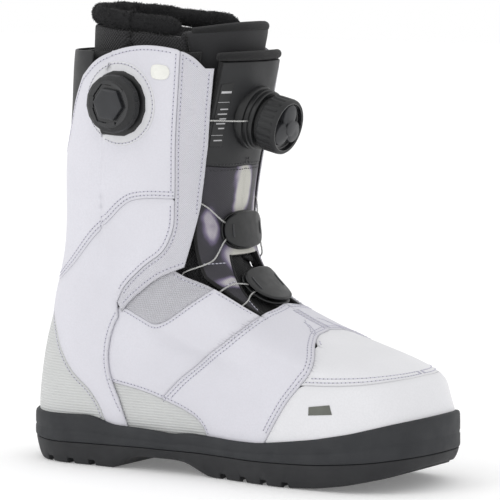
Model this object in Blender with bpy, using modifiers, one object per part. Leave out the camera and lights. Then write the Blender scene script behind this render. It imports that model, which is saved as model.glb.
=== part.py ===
"""Right snowboard boot with two lace dials, as an assembly of separate pieces.

The boot's own axes: +X to the toe, +Z up, -Y the outer (lateral) side, and x = 0 at the back of the heel.
Every length below is in millimetres. make_mesh() turns them into metres, and the empty "boot" carries the
whole boot to the frame's origin, which is the middle of its box, at the ground.

The upper is built around one surface, the last: skin(z, phi, offset) is the point at height z and angle phi
(0 at the toe, pi at the heel, negative on the outer side), moved outwards by offset. Each layer of the boot is
a shell between two offsets, and each panel is cut out of its layer.
"""

import math

import bmesh
import bpy
import numpy as np
from mathutils import Matrix, Vector

MM = 0.001
ORIGIN = (144.561, -5.487)  # the origin, the middle of the whole boot at the ground, in the boot's own axes

# ---- the last: horizontal sections, heel to toe ------------------------------------------------------------
# height, back, front, half width at the heel, at the waist and at the ball (outer), at the waist and the ball
# (inner), and how far the round front and the round back reach
SECTIONS = np.array([
    (10.0, 8.0, 281.0, 35, 37, 49, 33, 47, 46, 36),
    (25.0, 5.0, 284.0, 37, 39, 51, 35, 49, 48, 38),
    (40.0, 5.0, 284.0, 38, 40, 51, 36, 49, 49, 39),
    (55.0, 7.0, 280.0, 38, 40, 50, 37, 48, 50, 39),
    (67.0, 9.0, 272.0, 38, 40, 48, 37, 46, 53, 39),
    (78.0, 11.5, 242.0, 38, 39, 46, 37, 44, 58, 39),
    (90.0, 15.0, 206.0, 38, 39, 44, 37, 42, 56, 39),
    (105.0, 18.5, 173.0, 39, 39, 42, 38, 41, 50, 40),
    (125.0, 24.0, 152.5, 40, 41, 42, 40, 41, 47, 41),
    (150.0, 27.5, 145.0, 42, 43, 44, 42, 43, 46, 43),
    (180.0, 28.0, 147.0, 44, 45, 46, 44, 45, 48, 45),
    (215.0, 31.0, 154.0, 46, 47, 48, 46, 47, 50, 47),
    (250.0, 33.0, 163.0, 47, 48, 48, 47, 47, 51, 48),
    (290.0, 35.0, 173.0, 47, 48, 48, 47, 47, 51, 48),
])
ROUNDNESS = 2.25  # exponent of the round ends: 2 is an ellipse
AROUND = 36        # points round a ring of the outer shell
INNER_AROUND = 26  # points round a ring of the lining and the liner
SOLE_AROUND = 48   # points round a ring of the sole
HEIGHTS = (38, 53, 64, 72, 80, 88, 97, 108, 121, 136, 156, 182, 208, 236, 262)

# ---- layers: offsets from the last --------------------------------------------------------------------------
SEAM_GAP = 0.4                # between two panels that meet edge to edge
OVERLAY = (0.8, 1.9)          # cuff panels, over the quarters
PANEL = (-1.0, 0.1)           # quarters, vamp, toe cap, heel counter, spine
LINING_OUTER = -5.0
TONGUE_SKIN = (-2.4, -1.4)
GUIDE_TOP = 3.8
RIM_INNER, RIM_OUTER = 2.8, 4.6   # the cup sole's wall

# ---- sole ---------------------------------------------------------------------------------------------------
SOLE_LEVEL = 38.0          # the height at which the sole takes its outline from the last
MIDSOLE_FLOOR, TOE_LIFT = 18.9, 7.6
BOARD_THICKNESS = 1.7
TREAD_DEPTH = 3.6
LINER_SECTION = 40.0       # the same for the flat parts of the liner
LINER_SOLE, LINER_FLOOR, FOOTBED = 4.4, 3.6, 3.6   # thicknesses
LINER_TOP, COLLAR_TOP = 279.0, 291.0
# where along the boot (x) the ground profile, the parting line and the rim's top edge are at which height
GROUND = ((0, 9), (5, 4.5), (12, 0.8), (17, 0), (76, 0), (80, 2.5), (86, 7), (94, 8.5), (118, 8.5), (128, 7.5),
          (138, 3), (145, 0), (206, 0), (225, 1.2), (246, 4.4), (266, 9), (282, 14), (292, 18))
PARTING = ((0, 16), (30, 14.2), (100, 15.6), (180, 15.0), (225, 16.3), (260, 19.6), (292, 24))
RIM_TOP = ((0, 31), (25, 31), (60, 32), (70, 29), (76, 27.2), (100, 26.8), (122, 25), (132, 26.6), (140, 26),
           (165, 25), (185, 25.4), (205, 28), (226, 31), (250, 36), (272, 42), (292, 46.5))

# ---- seams, as seen from the side: (x, z) -------------------------------------------------------------------
CUFF_TOP = ((143, 247), (138, 253), (130, 257.5), (116, 260), (100, 260), (85, 257), (70, 251), (58, 241))
CUFF_FRONT = ((150, 247), (146, 223), (142, 202), (140, 179), (138, 162), (136, 146), (133, 133), (127, 126.5))
CUFF_LOWER = ((127, 126.5), (110, 119), (94, 107.5), (82, 97), (75, 85), (72, 72), (73, 59), (79, 45), (87, 31),
              (94, 15))
BAND_SEAM = ((130, 259), (127, 228), (124, 200), (121.5, 165), (120, 149), (114, 136), (101, 126.5), (88, 115),
             (79, 103))
ANKLE_SEAM = ((123, 168), (106, 168), (94, 166), (87, 162), (78, 154), (66, 144), (45, 123), (30, 113), (14, 110))
SPINE_EDGE = ((58, 241), (50, 226), (44, 210), (37, 196), (24, 186))
COUNTER_EDGE = ((4, 102), (20, 98), (30, 85), (37, 70), (46, 57), (57, 48), (64, 40), (69, 30), (73, 15))
MESH_SEAM = ((80, 101), (98, 94), (107, 91), (115, 93), (126, 100), (141, 111), (152, 121))
QUARTER_SEAM = ((178, 106), (171, 94), (160, 84), (142, 71), (124, 58), (111, 45.5))
ARCH_SEAM = ((73, 53), (90, 50.5), (103, 47.8), (114, 44.5), (127, 40), (137, 35), (143, 28), (144, 15))
QUARTER_FRONT = ((196, 100), (206, 90), (213, 84), (220, 76), (220.5, 70), (215, 62), (207, 52), (198, 38),
                 (184, 15))
RAND_SEAM = ((215, 62), (237, 63), (254, 64.3), (268, 66.2), (290, 69))
LINER_THROAT = ((118, 300), (126, 262), (133, 238), (140, 226), (200, 226), (200, 300))

# ---- throat: half width of the opening at heights up the front of the last -----------------------------------
THROAT = ((92, 24), (98, 26), (105, 27.5), (112, 29), (118, 31), (124, 34), (130, 38), (135, 40), (140, 38),
          (146, 36), (154, 35), (180, 35), (200, 36), (223, 39), (245, 41), (275, 42))
TONGUE_INSET = 3.0       # each side of the tongue to the opening's edge, where laces pass under the edge
TONGUE_HALF_WIDTH = 32.5 # the most, so that it swings out past the cuff's edges
TONGUE_TOP = 250.0
TONGUE_LEVELS = (80, 86, 92, 99, 107, 116, 126, 138, 152, 168, 186, 204, 222, 240, 262)
TONGUE_SEAM = ((120, 191), (146, 186), (175, 192))
HINGE_HEIGHT = 92.0      # on the last's front line, where the tongue is sewn in

# ---- dials: levels are the base's top, the cup's top, the knob's foot and top, and the cap's top --------------
SIDE_DIAL = {"height": 225.0, "x": 88.0, "base_radius": 20.0, "knob_radius": 17.5, "knob_roof": 1.8, "teeth": 24,
             "levels": (4.0, 10.4, 6.0, 14.4, 16.4)}
TONGUE_DIAL = {"height": 216.0, "base_radius": 19.0, "knob_radius": 17.3, "knob_roof": 3.0, "teeth": 24,
               "levels": (8.0, 17.5, 10.5, 23.5, 26.5)}
BOSS_RADIUS = 8.0        # the side dial's boss, which goes through the cuff
PORT_RADIUS = 0.9
SIDE_PORT, FRONT_PORT = -1.1, 4.6   # heights of the ports above the last
DOCK = {"height": 181.0, "x": 110.0}

# ---- laces: (height, place, offset) from station to station; a place is a half width, an (angle in degrees,)
# or a [distance past the throat's edge] ------------------------------------
LACE_RADIUS = 0.5
HIDDEN = -3.1            # the depth at which the shell lace runs under a panel
SHELL_LACE_FRONT = [     # under the cuff's edge, round the upper guide, round a sleeve and the lower guide
    (170, 40, HIDDEN), (168, 36, -2.2), (166, 33, -0.6), (163, 29, 0.3), (153, 18.6, 1.2), (149.6, 10, 1.2),
    (147.5, 6.6, 1.2), (145.4, 10, 1.2), (142.6, 18.6, 1.2), (131, 28, 0.9), (128.2, 32.0, 0.4),
    (124.4, (52,), -2.7), (122.5, (56,), HIDDEN), (119.8, (57.5,), HIDDEN), (117.2, (53,), HIDDEN),
    (120.0, [4.5], HIDDEN), (119.2, [1.5], -2.8), (119.2, [-4.2], 0.6), (116.6, 22.0, 0.9), (116.0, 16.5, 1.2),
    (115.2, 9.5, 1.2), (114.0, 6.6, 1.2), (112.8, 9.5, 1.2), (111.6, 16.5, 1.2), (109.6, 21.0, 0.9),
    (110.0, [-4.2], 0.6), (109.6, [1.5], -2.8), (108.4, [4.5], HIDDEN), (105.5, [8.0], HIDDEN)]
SHELL_LACE_START = {     # from the side dial's ports: forwards, or back round the heel
    "lateral": [(221, (77,), -2.6), (207, (62,), HIDDEN), (187, (53,), HIDDEN)],
    "medial": [(224, (246,), -2.6), (222, (228,), HIDDEN), (221, (208,), HIDDEN), (220, (190,), HIDDEN),
               (219, (170,), HIDDEN), (218, (150,), HIDDEN), (216, (130,), HIDDEN), (213, (110,), HIDDEN),
               (209, (90,), HIDDEN), (203, (74,), HIDDEN), (195, (61,), HIDDEN), (183, (51,), HIDDEN)]}
HARNESS_LACE = [(215, 26, 4.0), (215.3, 31, 1.6), (215.3, 35, -0.2), (214.5, 38.5, -1.4), (212, 41.5, -1.4),
                (206, (55,), -1.4), (196, (63,), -1.4), (190, (66.5,), -1.6), (186.2, (67.6,), -2.9)]
SLEEVE = {"outer": 1.2, "bore": 0.85, "heights": (114.5, 123.0), "least_y": 35.0}

COLOURS = {  # base colour, roughness, metallic
    "white_leather": ((0.80, 0.79, 0.83), 0.55, 0.0),
    "grey_mesh": ((0.74, 0.75, 0.74), 0.70, 0.0),
    "black_fabric": ((0.018, 0.018, 0.020), 0.85, 0.0),
    "black_leather": ((0.022, 0.023, 0.026), 0.50, 0.0),
    "printed_fabric": ((0.35, 0.33, 0.37), 0.60, 0.0),
    "sole_rubber": ((0.045, 0.047, 0.052), 0.65, 0.0),
    "midsole_foam": ((0.055, 0.057, 0.062), 0.75, 0.0),
    "black_plastic": ((0.020, 0.021, 0.023), 0.35, 0.0),
    "steel_lace": ((0.62, 0.62, 0.60), 0.35, 0.9),
    "screw_steel": ((0.55, 0.55, 0.56), 0.30, 1.0),
    "fur": ((0.030, 0.030, 0.032), 0.95, 0.0),
    "board": ((0.35, 0.30, 0.24), 0.85, 0.0),
}


for leftover in list(bpy.data.objects):
    bpy.data.objects.remove(leftover)
BOOT = bpy.data.collections.new("snowboard_boot")
CUTTERS = bpy.data.collections.new("cutters")
for collection in (BOOT, CUTTERS):
    bpy.context.scene.collection.children.link(collection)
CARRIER = bpy.data.objects.new("boot", None)
CARRIER.location = (-ORIGIN[0] * MM, -ORIGIN[1] * MM, 0)
BOOT.objects.link(CARRIER)


# ---- the last ---------------------------------------------------------------------------------------------------
def natural_spline(knots, values):
    """A function through the points, smooth to its second derivative, with a straight run past either end."""
    knots, values = np.asarray(knots, float), np.asarray(values, float)
    steps = np.diff(knots)
    slopes = np.diff(values) / steps
    count = len(knots)
    matrix, right = np.eye(count), np.zeros(count)
    for i in range(1, count - 1):
        matrix[i, i - 1:i + 2] = steps[i - 1], 2 * (steps[i - 1] + steps[i]), steps[i]
        right[i] = 6 * (slopes[i] - slopes[i - 1])
    bends = np.linalg.solve(matrix, right)

    def at(where):
        where = np.clip(where, knots[0], knots[-1])
        i = np.clip(np.searchsorted(knots, where) - 1, 0, count - 2)
        left, gap = where - knots[i], knots[i + 1] - where
        return ((bends[i] * gap**3 + bends[i + 1] * left**3) / (6 * steps[i])
                + (values[i] / steps[i] - bends[i] * steps[i] / 6) * gap
                + (values[i + 1] / steps[i] - bends[i + 1] * steps[i] / 6) * left)
    return at


(BACK, FRONT, HEEL_WIDTH, OUTER_WAIST, OUTER_BALL, INNER_WAIST, INNER_BALL, FRONT_REACH, BACK_REACH) = (
    natural_spline(SECTIONS[:, 0], SECTIONS[:, column]) for column in range(1, 10))


def ease(share):
    share = np.clip(share, 0.0, 1.0)
    return share * share * (3 - 2 * share)


def last_point(z, phi):
    """The last's own surface, as an array of points (..., 3)."""
    z, phi = np.broadcast_arrays(np.asarray(z, float), np.asarray(phi, float))
    back, front = BACK(z), FRONT(z)
    x = back + (front - back) * (1 + np.cos(phi)) / 2
    heel, reach_back, reach_front = HEEL_WIDTH(z), BACK_REACH(z), FRONT_REACH(z)
    outer = np.sin(phi) < 0
    waist = np.where(outer, OUTER_WAIST(z), INNER_WAIST(z))
    ball = np.where(outer, OUTER_BALL(z), INNER_BALL(z))
    heel_x, ball_x = back + reach_back, front - 1.55 * reach_front
    waist_x = (heel_x + ball_x) / 2
    half = np.where(x < waist_x,
                    heel + (waist - heel) * ease((x - heel_x) / np.maximum(waist_x - heel_x, 1)),
                    waist + (ball - waist) * ease((x - waist_x) / np.maximum(ball_x - waist_x, 1)))
    into_back = np.clip((heel_x - x) / reach_back, 0, 1)
    into_front = np.clip((x - front + reach_front) / reach_front, 0, 1)
    for into in (into_back, into_front):
        half = half * (1 - into**ROUNDNESS) ** (1 / ROUNDNESS)
    y = np.where(outer, -half, half)
    return np.stack([x, y, z], axis=-1)


def skin(z, phi, offset=0.0):
    """The last's surface moved outwards by offset, which may differ from point to point."""
    step = 1e-3
    z, phi = np.broadcast_arrays(np.asarray(z, float), np.asarray(phi, float))
    along = last_point(z, phi + step) - last_point(z, phi - step)
    up = last_point(z + step, phi) - last_point(z - step, phi)
    normal = np.cross(along, up)
    normal /= np.linalg.norm(normal, axis=-1, keepdims=True)
    return last_point(z, phi) + normal * np.asarray(offset, float)[..., None]


def angles(count):
    """Angles round a ring, closer together at the toe and the heel, starting at the heel."""
    turn = np.linspace(-math.pi, math.pi, count, endpoint=False)
    return turn - 0.22 * np.sin(2 * turn)


def side_angle(x, z, outer=True):
    """The angle at which the last has this x at this height."""
    back, front = float(BACK(z)), float(FRONT(z))
    phi = math.acos(np.clip(2 * (x - back) / (front - back) - 1, -1, 1))
    return -phi if outer else phi


def wall_depth(z):
    """How deep the lining's inner face lies: the collar is padded."""
    return 6.4 + 3.0 * ease((np.asarray(z, float) - 120) / 120)


def liner_depth(z):
    """How deep the liner's outer face lies, with room for the ankle harness above the foot."""
    return wall_depth(z) + 0.7 + 1.6 * ease((np.asarray(z, float) - 25) / 25)


def liner_thickness(z):
    return 5.0 + 2.0 * ease((np.asarray(z, float) - 110) / 60)


def profile(table):
    """A height that runs along the boot, from a table of (x, height)."""
    xs, heights = zip(*table)
    return lambda x: np.interp(x, xs, heights)


# ---- meshes -----------------------------------------------------------------------------------------------------
def material(name):
    found = bpy.data.materials.get(name)
    if found:
        return found
    colour, roughness, metallic = COLOURS[name]
    made = bpy.data.materials.new(name)
    made.use_nodes = True
    shader = made.node_tree.nodes["Principled BSDF"]
    shader.inputs["Base Color"].default_value = (*colour, 1)
    shader.inputs["Roughness"].default_value = roughness
    shader.inputs["Metallic"].default_value = metallic
    made.diffuse_color = (*colour, 1)
    return made


def add_object(name, data, finish=None, cutter=False):
    made = bpy.data.objects.new(name, data)
    (CUTTERS if cutter else BOOT).objects.link(made)
    made.parent = CARRIER
    if cutter:
        made.hide_render = True
        made.display_type = "WIRE"
    else:
        data.materials.clear()
        data.materials.append(material(finish))
    return made


def make_mesh(name, points, faces):
    mesh = bpy.data.meshes.new(name)
    mesh.from_pydata([tuple(float(c) * MM for c in p) for p in points], [], faces)
    shape = bmesh.new()
    shape.from_mesh(mesh)
    bmesh.ops.remove_doubles(shape, verts=shape.verts, dist=1e-6)
    bmesh.ops.recalc_face_normals(shape, faces=shape.faces)
    shape.to_mesh(mesh)
    shape.free()
    return mesh


def loft(name, rings, capped=False):
    """A closed mesh through rings of points. Uncapped, the last ring joins the first, as in a hollow wall."""
    count, size = len(rings), len(rings[0])
    points = [p for ring in rings for p in ring]
    faces = []
    for k in range(count - 1 if capped else count):
        low, high = k * size, (k + 1) % count * size
        faces += [(low + i, low + (i + 1) % size, high + (i + 1) % size, high + i) for i in range(size)]
    if capped:
        for start in (0, (count - 1) * size):
            for i in range(size // 2):
                rung = (start + i, start + i + 1, start + size - i - 1, start + (size - i) % size)
                faces.append(tuple(dict.fromkeys(rung)))
    return make_mesh(name, points, faces)


def wall(name, inner, outer, heights=HEIGHTS, around=AROUND):
    """A hollow wall round the last, between two depths that may depend on the height."""
    phi = angles(around)
    levels = [np.full(around, z) for z in heights]
    if heights[0] == HEIGHTS[0]:
        levels.insert(0, hem_height(last_point(SOLE_LEVEL, phi)[:, 0]))

    def rings(depth, order):
        return [skin(z, phi, depth(z) if callable(depth) else np.full(around, depth)) for z in order]
    return loft(name, rings(outer, levels) + rings(inner, levels[::-1]))


def smooth(points, spacing=6.0):
    """A polyline through the points along a centripetal curve, with a point every spacing or so."""
    pts = [Vector(p) for p in points]
    pts = [2 * pts[0] - pts[1], *pts, 2 * pts[-1] - pts[-2]]
    line = []
    for a, b, c, d in zip(pts, pts[1:], pts[2:], pts[3:]):
        steps = max(1, round((c - b).length / spacing))
        t0, t1 = 0.0, max((b - a).length, 1e-6) ** 0.5
        t2 = t1 + max((c - b).length, 1e-6) ** 0.5
        t3 = t2 + max((d - c).length, 1e-6) ** 0.5
        for k in range(steps):
            t = t1 + (t2 - t1) * k / steps
            ab = a + (b - a) * ((t - t0) / (t1 - t0))
            bc = b + (c - b) * ((t - t1) / (t2 - t1))
            cd = c + (d - c) * ((t - t2) / (t3 - t2))
            abc = ab + (bc - ab) * ((t - t0) / (t2 - t0))
            bcd = bc + (cd - bc) * ((t - t1) / (t3 - t1))
            line.append(abc + (bcd - abc) * ((t - t1) / (t2 - t1)))
    return [tuple(p) for p in [*line, pts[-2]]]


def inset(outline, distance):
    """The closed outline moved inwards by distance, which is small against its curves."""
    points = np.array(outline, float)
    after, before = np.roll(points, -1, axis=0), np.roll(points, 1, axis=0)
    area = np.sum(points[:, 0] * after[:, 1] - after[:, 0] * points[:, 1])
    tangent = after - before
    tangent /= np.linalg.norm(tangent, axis=1, keepdims=True)
    inward = np.stack([-tangent[:, 1], tangent[:, 0]], axis=1) * np.sign(area)
    return points + inward * distance


def prism(name, outline, low, high):
    """A cutter: an outline seen from the side, (x, z), that runs across the boot from y = low to y = high."""
    count = len(outline)
    points = [(x, y, z) for y in (low, high) for x, z in outline]
    faces = [tuple(range(count)), tuple(range(2 * count - 1, count - 1, -1))]
    faces += [(i, (i + 1) % count, count + (i + 1) % count, count + i) for i in range(count)]
    return add_object(name, make_mesh(name, points, faces), cutter=True)


def throat_half(z):
    return float(np.interp(z, *zip(*THROAT)))


def throat_ray(z, depth, height=22.0):
    """Two points on the throat's middle line, inside and outside: square to the instep, level up the shaft."""
    ends = skin(z, 0.0, depth), skin(z, 0.0, height)
    for end in ends:
        end[2] += (z - end[2]) * ease((z - 130) / 60)
    return ends


def throat_block(name, grow, most, heights, depth):
    """A cutter that follows the front of the last, as wide as the throat."""
    rings = []
    for z in heights:
        inner, outer = throat_ray(z, depth)
        half = min(throat_half(z) + grow, most)
        rings.append([(inner[0], -half, inner[2]), (outer[0], -half, outer[2]),
                      (outer[0], half, outer[2]), (inner[0], half, inner[2])])
    points = [p for ring in rings for p in ring]
    last = 4 * (len(rings) - 1)
    faces = [(0, 1, 2, 3), (last + 3, last + 2, last + 1, last)]
    for k in range(len(rings) - 1):
        faces += [(4 * k + i, 4 * k + (i + 1) % 4, 4 * k + 4 + (i + 1) % 4, 4 * k + 4 + i) for i in range(4)]
    return add_object(name, make_mesh(name, points, faces), cutter=True)


def boolean(target, cutter, operation="DIFFERENCE"):
    cut = target.modifiers.new(f"{operation.lower()}_{cutter.name}", "BOOLEAN")
    cut.operation = operation
    cut.solver = "EXACT"
    cut.object = cutter
    return target


def panel(name, layer, outline, finish, side="both", minus=()):
    """A piece cut out of a layer by an outline seen from the side."""
    low, high = {"outer": (-120, -0.2), "inner": (0.2, 120), "both": (-120, 120)}[side]
    made = add_object(name, layer.copy(), finish)
    boolean(made, prism(name + "_outline", inset(outline, SEAM_GAP / 2), low, high), "INTERSECT")
    for cutter in minus:
        boolean(made, cutter)
    return made


def on_both_sides(name, layer, outline, finish, minus=()):
    for side, word in (("outer", "lateral"), ("inner", "medial")):
        panel(f"{name}_{word}", layer, outline, finish, side, minus)


def turned(name, outline, finish=None, steps=20, cutter=False):
    """A body turned about its own Z, from an outline of (radius, height) that runs down its outer side."""
    mesh = bpy.data.meshes.new(name)
    closed = outline[0][0] > 0
    edges = [(i, i + 1) for i in range(len(outline) - 1)] + ([(len(outline) - 1, 0)] if closed else [])
    mesh.from_pydata([(r * MM, 0, z * MM) for r, z in outline], edges, [])
    made = add_object(name, mesh, finish, cutter)
    screw = made.modifiers.new("turn", "SCREW")
    screw.steps = screw.render_steps = steps
    screw.use_merge_vertices = True
    screw.merge_threshold = 1e-5
    return made


def cylinder(name, radius, low, high, finish=None, sides=20, cutter=False):
    """A cylinder on its own Z, from low to high."""
    shape = bmesh.new()
    bmesh.ops.create_cone(shape, cap_ends=True, segments=sides, radius1=radius * MM, radius2=radius * MM,
                          depth=(high - low) * MM)
    bmesh.ops.translate(shape, verts=shape.verts, vec=(0, 0, (low + high) / 2 * MM))
    mesh = bpy.data.meshes.new(name)
    shape.to_mesh(mesh)
    shape.free()
    return add_object(name, mesh, finish, cutter)


def place(made, where):
    """Puts a piece that was made about its own origin at a place in the boot, a matrix in millimetres."""
    matrix = where.copy()
    matrix.translation = where.translation * MM
    made.matrix_basis = matrix
    return made


def pivot_at(made, point):
    """Moves a piece's origin to a point of its joint's axis, and leaves the piece where it is."""
    shift = Vector(point) * MM
    made.data.transform(Matrix.Translation(-shift))
    made.location = shift


def axis_frame(point, axis):
    """A place whose own Z runs along axis, and whose own Y points up."""
    z = Vector(axis).normalized()
    x = Vector((0, 0, 1)).cross(z).normalized()
    turn = Matrix((x, z.cross(x), z)).transposed().to_4x4()
    return Matrix.Translation(Vector(point)) @ turn


def tube(name, points, radius, finish, resolution=2):
    curve = bpy.data.curves.new(name, "CURVE")
    curve.dimensions = "3D"
    curve.bevel_depth = radius * MM
    curve.bevel_resolution = resolution
    curve.use_fill_caps = True
    line = curve.splines.new("POLY")
    line.points.add(len(points) - 1)
    for spot, point in zip(line.points, points):
        spot.co = (*(Vector(point) * MM), 1)
    return add_object(name, curve, finish)


# ---- the sole ---------------------------------------------------------------------------------------------------
def sole_ring(height_of, offset):
    """A ring of the sole, whose height follows a profile along the boot."""
    phi = angles(SOLE_AROUND)
    flat = skin(SOLE_LEVEL, phi, np.full(SOLE_AROUND, offset))
    return np.stack([flat[:, 0], flat[:, 1], height_of(flat[:, 0])], axis=1)


def floor_height(x):
    """The cup's floor: level under the heel and the ball, and up with the toe."""
    return MIDSOLE_FLOOR + TOE_LIFT * ease((np.asarray(x, float) - 225) / 62)


def hem_height(x, above=0.0):
    """Just above the lasting board, where the upper and the liner begin."""
    return floor_height(x) + BOARD_THICKNESS + 0.9 + above


def make_sole():
    ground, parting, rim_top = profile(GROUND), profile(PARTING), profile(RIM_TOP)
    outsole = add_object("outsole", loft("outsole", [
        sole_ring(ground, -2.2), sole_ring(lambda x: 0.8 * ground(x) + 0.2 * parting(x), 1.2),
        sole_ring(lambda x: 0.4 * ground(x) + 0.6 * parting(x), 3.2),
        sole_ring(lambda x: parting(x) - 1.0, 3.9), sole_ring(lambda x: parting(x) - 0.4, 3.1)], capped=True),
        "sole_rubber")
    boolean(outsole, tread_cutter("tread_cross", [(x, 0, 4.2, 140) for x in (27, 43, 59, 157, 173, 189, 205)]))
    boolean(outsole, tread_cutter("tread_long", [(43, 0, 46, 4.5), (181, -19, 60, 4.5), (181, 19, 60, 4.5)]))

    midsole = add_object("midsole", loft("midsole", [
        sole_ring(lambda x: parting(x), 3.1), sole_ring(lambda x: parting(x) + 1.0, RIM_OUTER),
        sole_ring(lambda x: rim_top(x) - 3, RIM_OUTER - 0.3), sole_ring(rim_top, RIM_INNER + 1.0),
        sole_ring(rim_top, RIM_INNER), sole_ring(floor_height, RIM_INNER)], capped=True), "midsole_foam")
    add_object("lasting_board", loft("lasting_board", [
        sole_ring(lambda x: floor_height(x) + 0.3, 1.2),
        sole_ring(lambda x: floor_height(x) + 0.3 + BOARD_THICKNESS, 1.2)], capped=True), "board")


def tread_cutter(name, bars):
    """Bars (x, y, length, width) below the sole, whose gaps leave its lugs."""
    shape = bmesh.new()
    for x, y, long, wide in bars:
        height = TREAD_DEPTH + 6
        where = Matrix.Translation(Vector((x, y, TREAD_DEPTH - height / 2)) * MM)
        where = where @ Matrix.Diagonal((long * MM, wide * MM, height * MM, 1))
        bmesh.ops.create_cube(shape, size=1.0, matrix=where)
    mesh = bpy.data.meshes.new(name)
    shape.to_mesh(mesh)
    shape.free()
    return add_object(name, mesh, cutter=True)


# ---- the shell --------------------------------------------------------------------------------------------------
def between(points, low_x=-999, high_x=999, low_z=-999, high_z=999):
    """The points of a seam that lie in a box."""
    return [p for p in points if low_x < p[0] < high_x and low_z < p[1] < high_z]


def make_upper(throat):
    overlay = wall("overlay_layer", *OVERLAY)
    layer = wall("panel_layer", *PANEL)
    below = -40
    cuff_front, cuff_lower = smooth(CUFF_FRONT), smooth(CUFF_LOWER)
    band_seam, ankle_seam = smooth(BAND_SEAM), between(smooth(ANKLE_SEAM), high_x=122)
    counter = [*smooth(COUNTER_EDGE), (73, -60), (-60, -60), (-60, 102)]

    on_both_sides("cuff_band", overlay, [
        (160, 247), *cuff_front[1:-1], *between(cuff_lower, low_x=81, low_z=96),
        *between(band_seam, high_z=257.6)[::-1], *between(smooth(CUFF_TOP), low_x=130.5)[::-1]],
        "white_leather", [throat])
    upper_outline = [*between(smooth(CUFF_TOP), high_x=128.5), *smooth(SPINE_EDGE)[1:], (-20, 186), (-20, 110),
                     *ankle_seam[::-1], *between(band_seam, low_z=168.5, high_z=257.6)[::-1]]
    on_both_sides("cuff_upper", overlay, upper_outline, "white_leather")
    boss_hole = place(cylinder("boss_hole", BOSS_RADIUS + 0.6, -8, 8, cutter=True), side_dial_place())
    boolean(bpy.data.objects["cuff_upper_lateral"], boss_hole)
    window = prism("counter_window", inset(counter, -0.2), -120, 120)
    on_both_sides("cuff_ankle", overlay, [
        *ankle_seam, (-20, 110), (-20, below), (96, below), *between(cuff_lower, high_x=80)[::-1],
        *between(band_seam, high_z=167.5)[::-1]], "white_leather", [window])
    panel("heel_counter", overlay, counter, "grey_mesh")
    panel("spine_panel", layer, [(66, 256), *[(x + 6, z) for x, z in smooth(SPINE_EDGE)], (30, 176), (-60, 176),
                                 (-60, 256)], "black_leather")

    arch_seam, quarter_seam, mesh_seam = smooth(ARCH_SEAM), smooth(QUARTER_SEAM), smooth(MESH_SEAM)
    hidden = [(x - 9, z) for x, z in cuff_lower]
    on_both_sides("arch_insert", layer, [*between(hidden, high_z=52)[::-1], *arch_seam[1:], (144, below),
                                         (84, below)], "grey_mesh")
    on_both_sides("quarter_rear", layer, [
        *between(hidden, low_z=54, high_z=99)[::-1], *mesh_seam[1:], (160, 124), (184, 118), *quarter_seam,
        *between(arch_seam, high_x=110.5)[::-1]], "white_leather", [throat])
    on_both_sides("quarter_mesh", layer, [(70, 101.5), *mesh_seam[1:], (152, 134), (96, 134)], "grey_mesh",
                  [throat])
    quarter_edge = smooth(QUARTER_FRONT)
    on_both_sides("quarter_front", layer, [
        *quarter_seam[::-1], (190, 120), *quarter_edge, (184, below), (144.4, below),
        *between(arch_seam, low_x=111.5)[::-1]], "white_leather", [throat])
    rand = smooth(RAND_SEAM)
    panel("toe_cap", layer, [*rand[1:], (320, 71), (320, below), (184, below),
                             *between(quarter_edge, high_z=61)[::-1]], "white_leather")
    notches = [throat_notch(word, side) for word, side in (("lateral", -1), ("medial", 1))]
    panel("vamp", layer, [*between(quarter_edge, low_z=63)[::-1], (199.5, 120), (320, 120), (320, 71),
                          *rand[::-1]], "white_leather", minus=notches)


def throat_notch(word, side):
    """A cutter for the gap beside the tab that the vamp has at the foot of the throat."""
    outline = [(190, 13), (201, 15.5), (208, 21), (214.5, 27.5), (214.5, 30), (208, 34), (201, 60), (190, 60)]
    return block(f"tab_notch_{word}", [(x, side * y) for x, y in outline], 70, 110)


def block(name, outline, low, high):
    """A cutter: an outline seen from above, (x, y), that runs from z = low to z = high."""
    count = len(outline)
    points = [(x, y, z) for z in (low, high) for x, y in outline]
    faces = [tuple(range(count)), tuple(range(2 * count - 1, count - 1, -1))]
    faces += [(i, (i + 1) % count, count + (i + 1) % count, count + i) for i in range(count)]
    return add_object(name, make_mesh(name, points, faces), cutter=True)


def front_block(name, outline):
    """A cutter: an outline seen from the front, (y, z), that runs forwards through the front of the shaft."""
    count = len(outline)
    points = [(x, y, z) for x in (100, 260) for y, z in outline]
    faces = [tuple(range(count)), tuple(range(2 * count - 1, count - 1, -1))]
    faces += [(i, (i + 1) % count, count + (i + 1) % count, count + i) for i in range(count)]
    return add_object(name, make_mesh(name, points, faces), cutter=True)


def make_lining(throat):
    lining = add_object("shell_lining", wall("shell_lining", lambda z: -wall_depth(z), LINING_OUTER,
                                             (*HEIGHTS[:-1], 255.5), INNER_AROUND), "black_fabric")
    boolean(lining, throat)
    harness = wall("harness_layer", lambda z: -wall_depth(z) - 1.5, lambda z: -wall_depth(z) - 0.5,
                   around=INNER_AROUND)
    stem_holes = []
    for word, outer in (("lateral", True), ("medial", False)):
        dock = surface_place(DOCK["height"], side_angle(DOCK["x"], DOCK["height"], outer), LINING_OUTER)
        stem_holes.append(place(cylinder(f"stem_hole_{word}", 2.4, -14, 3, sides=12, cutter=True), dock))
        boolean(lining, stem_holes[-1])
        place(turned(f"harness_dock_{word}", [(0, 2.6), (4.0, 2.6), (4.0, 0.6), (1.9, 0.6), (1.9, -4.2),
                                              (0, -4.2)], "black_plastic", steps=12), dock)
    outline = smooth([(130, 186), (122, 192), (112, 186), (100, 150), (82, 118), (66, 96), (70, 84), (88, 90),
                      (116, 116), (126, 144), (131, 170), (130, 186)])[:-1]
    on_both_sides("ankle_harness", harness, outline, "black_fabric", [throat, *stem_holes])


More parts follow.
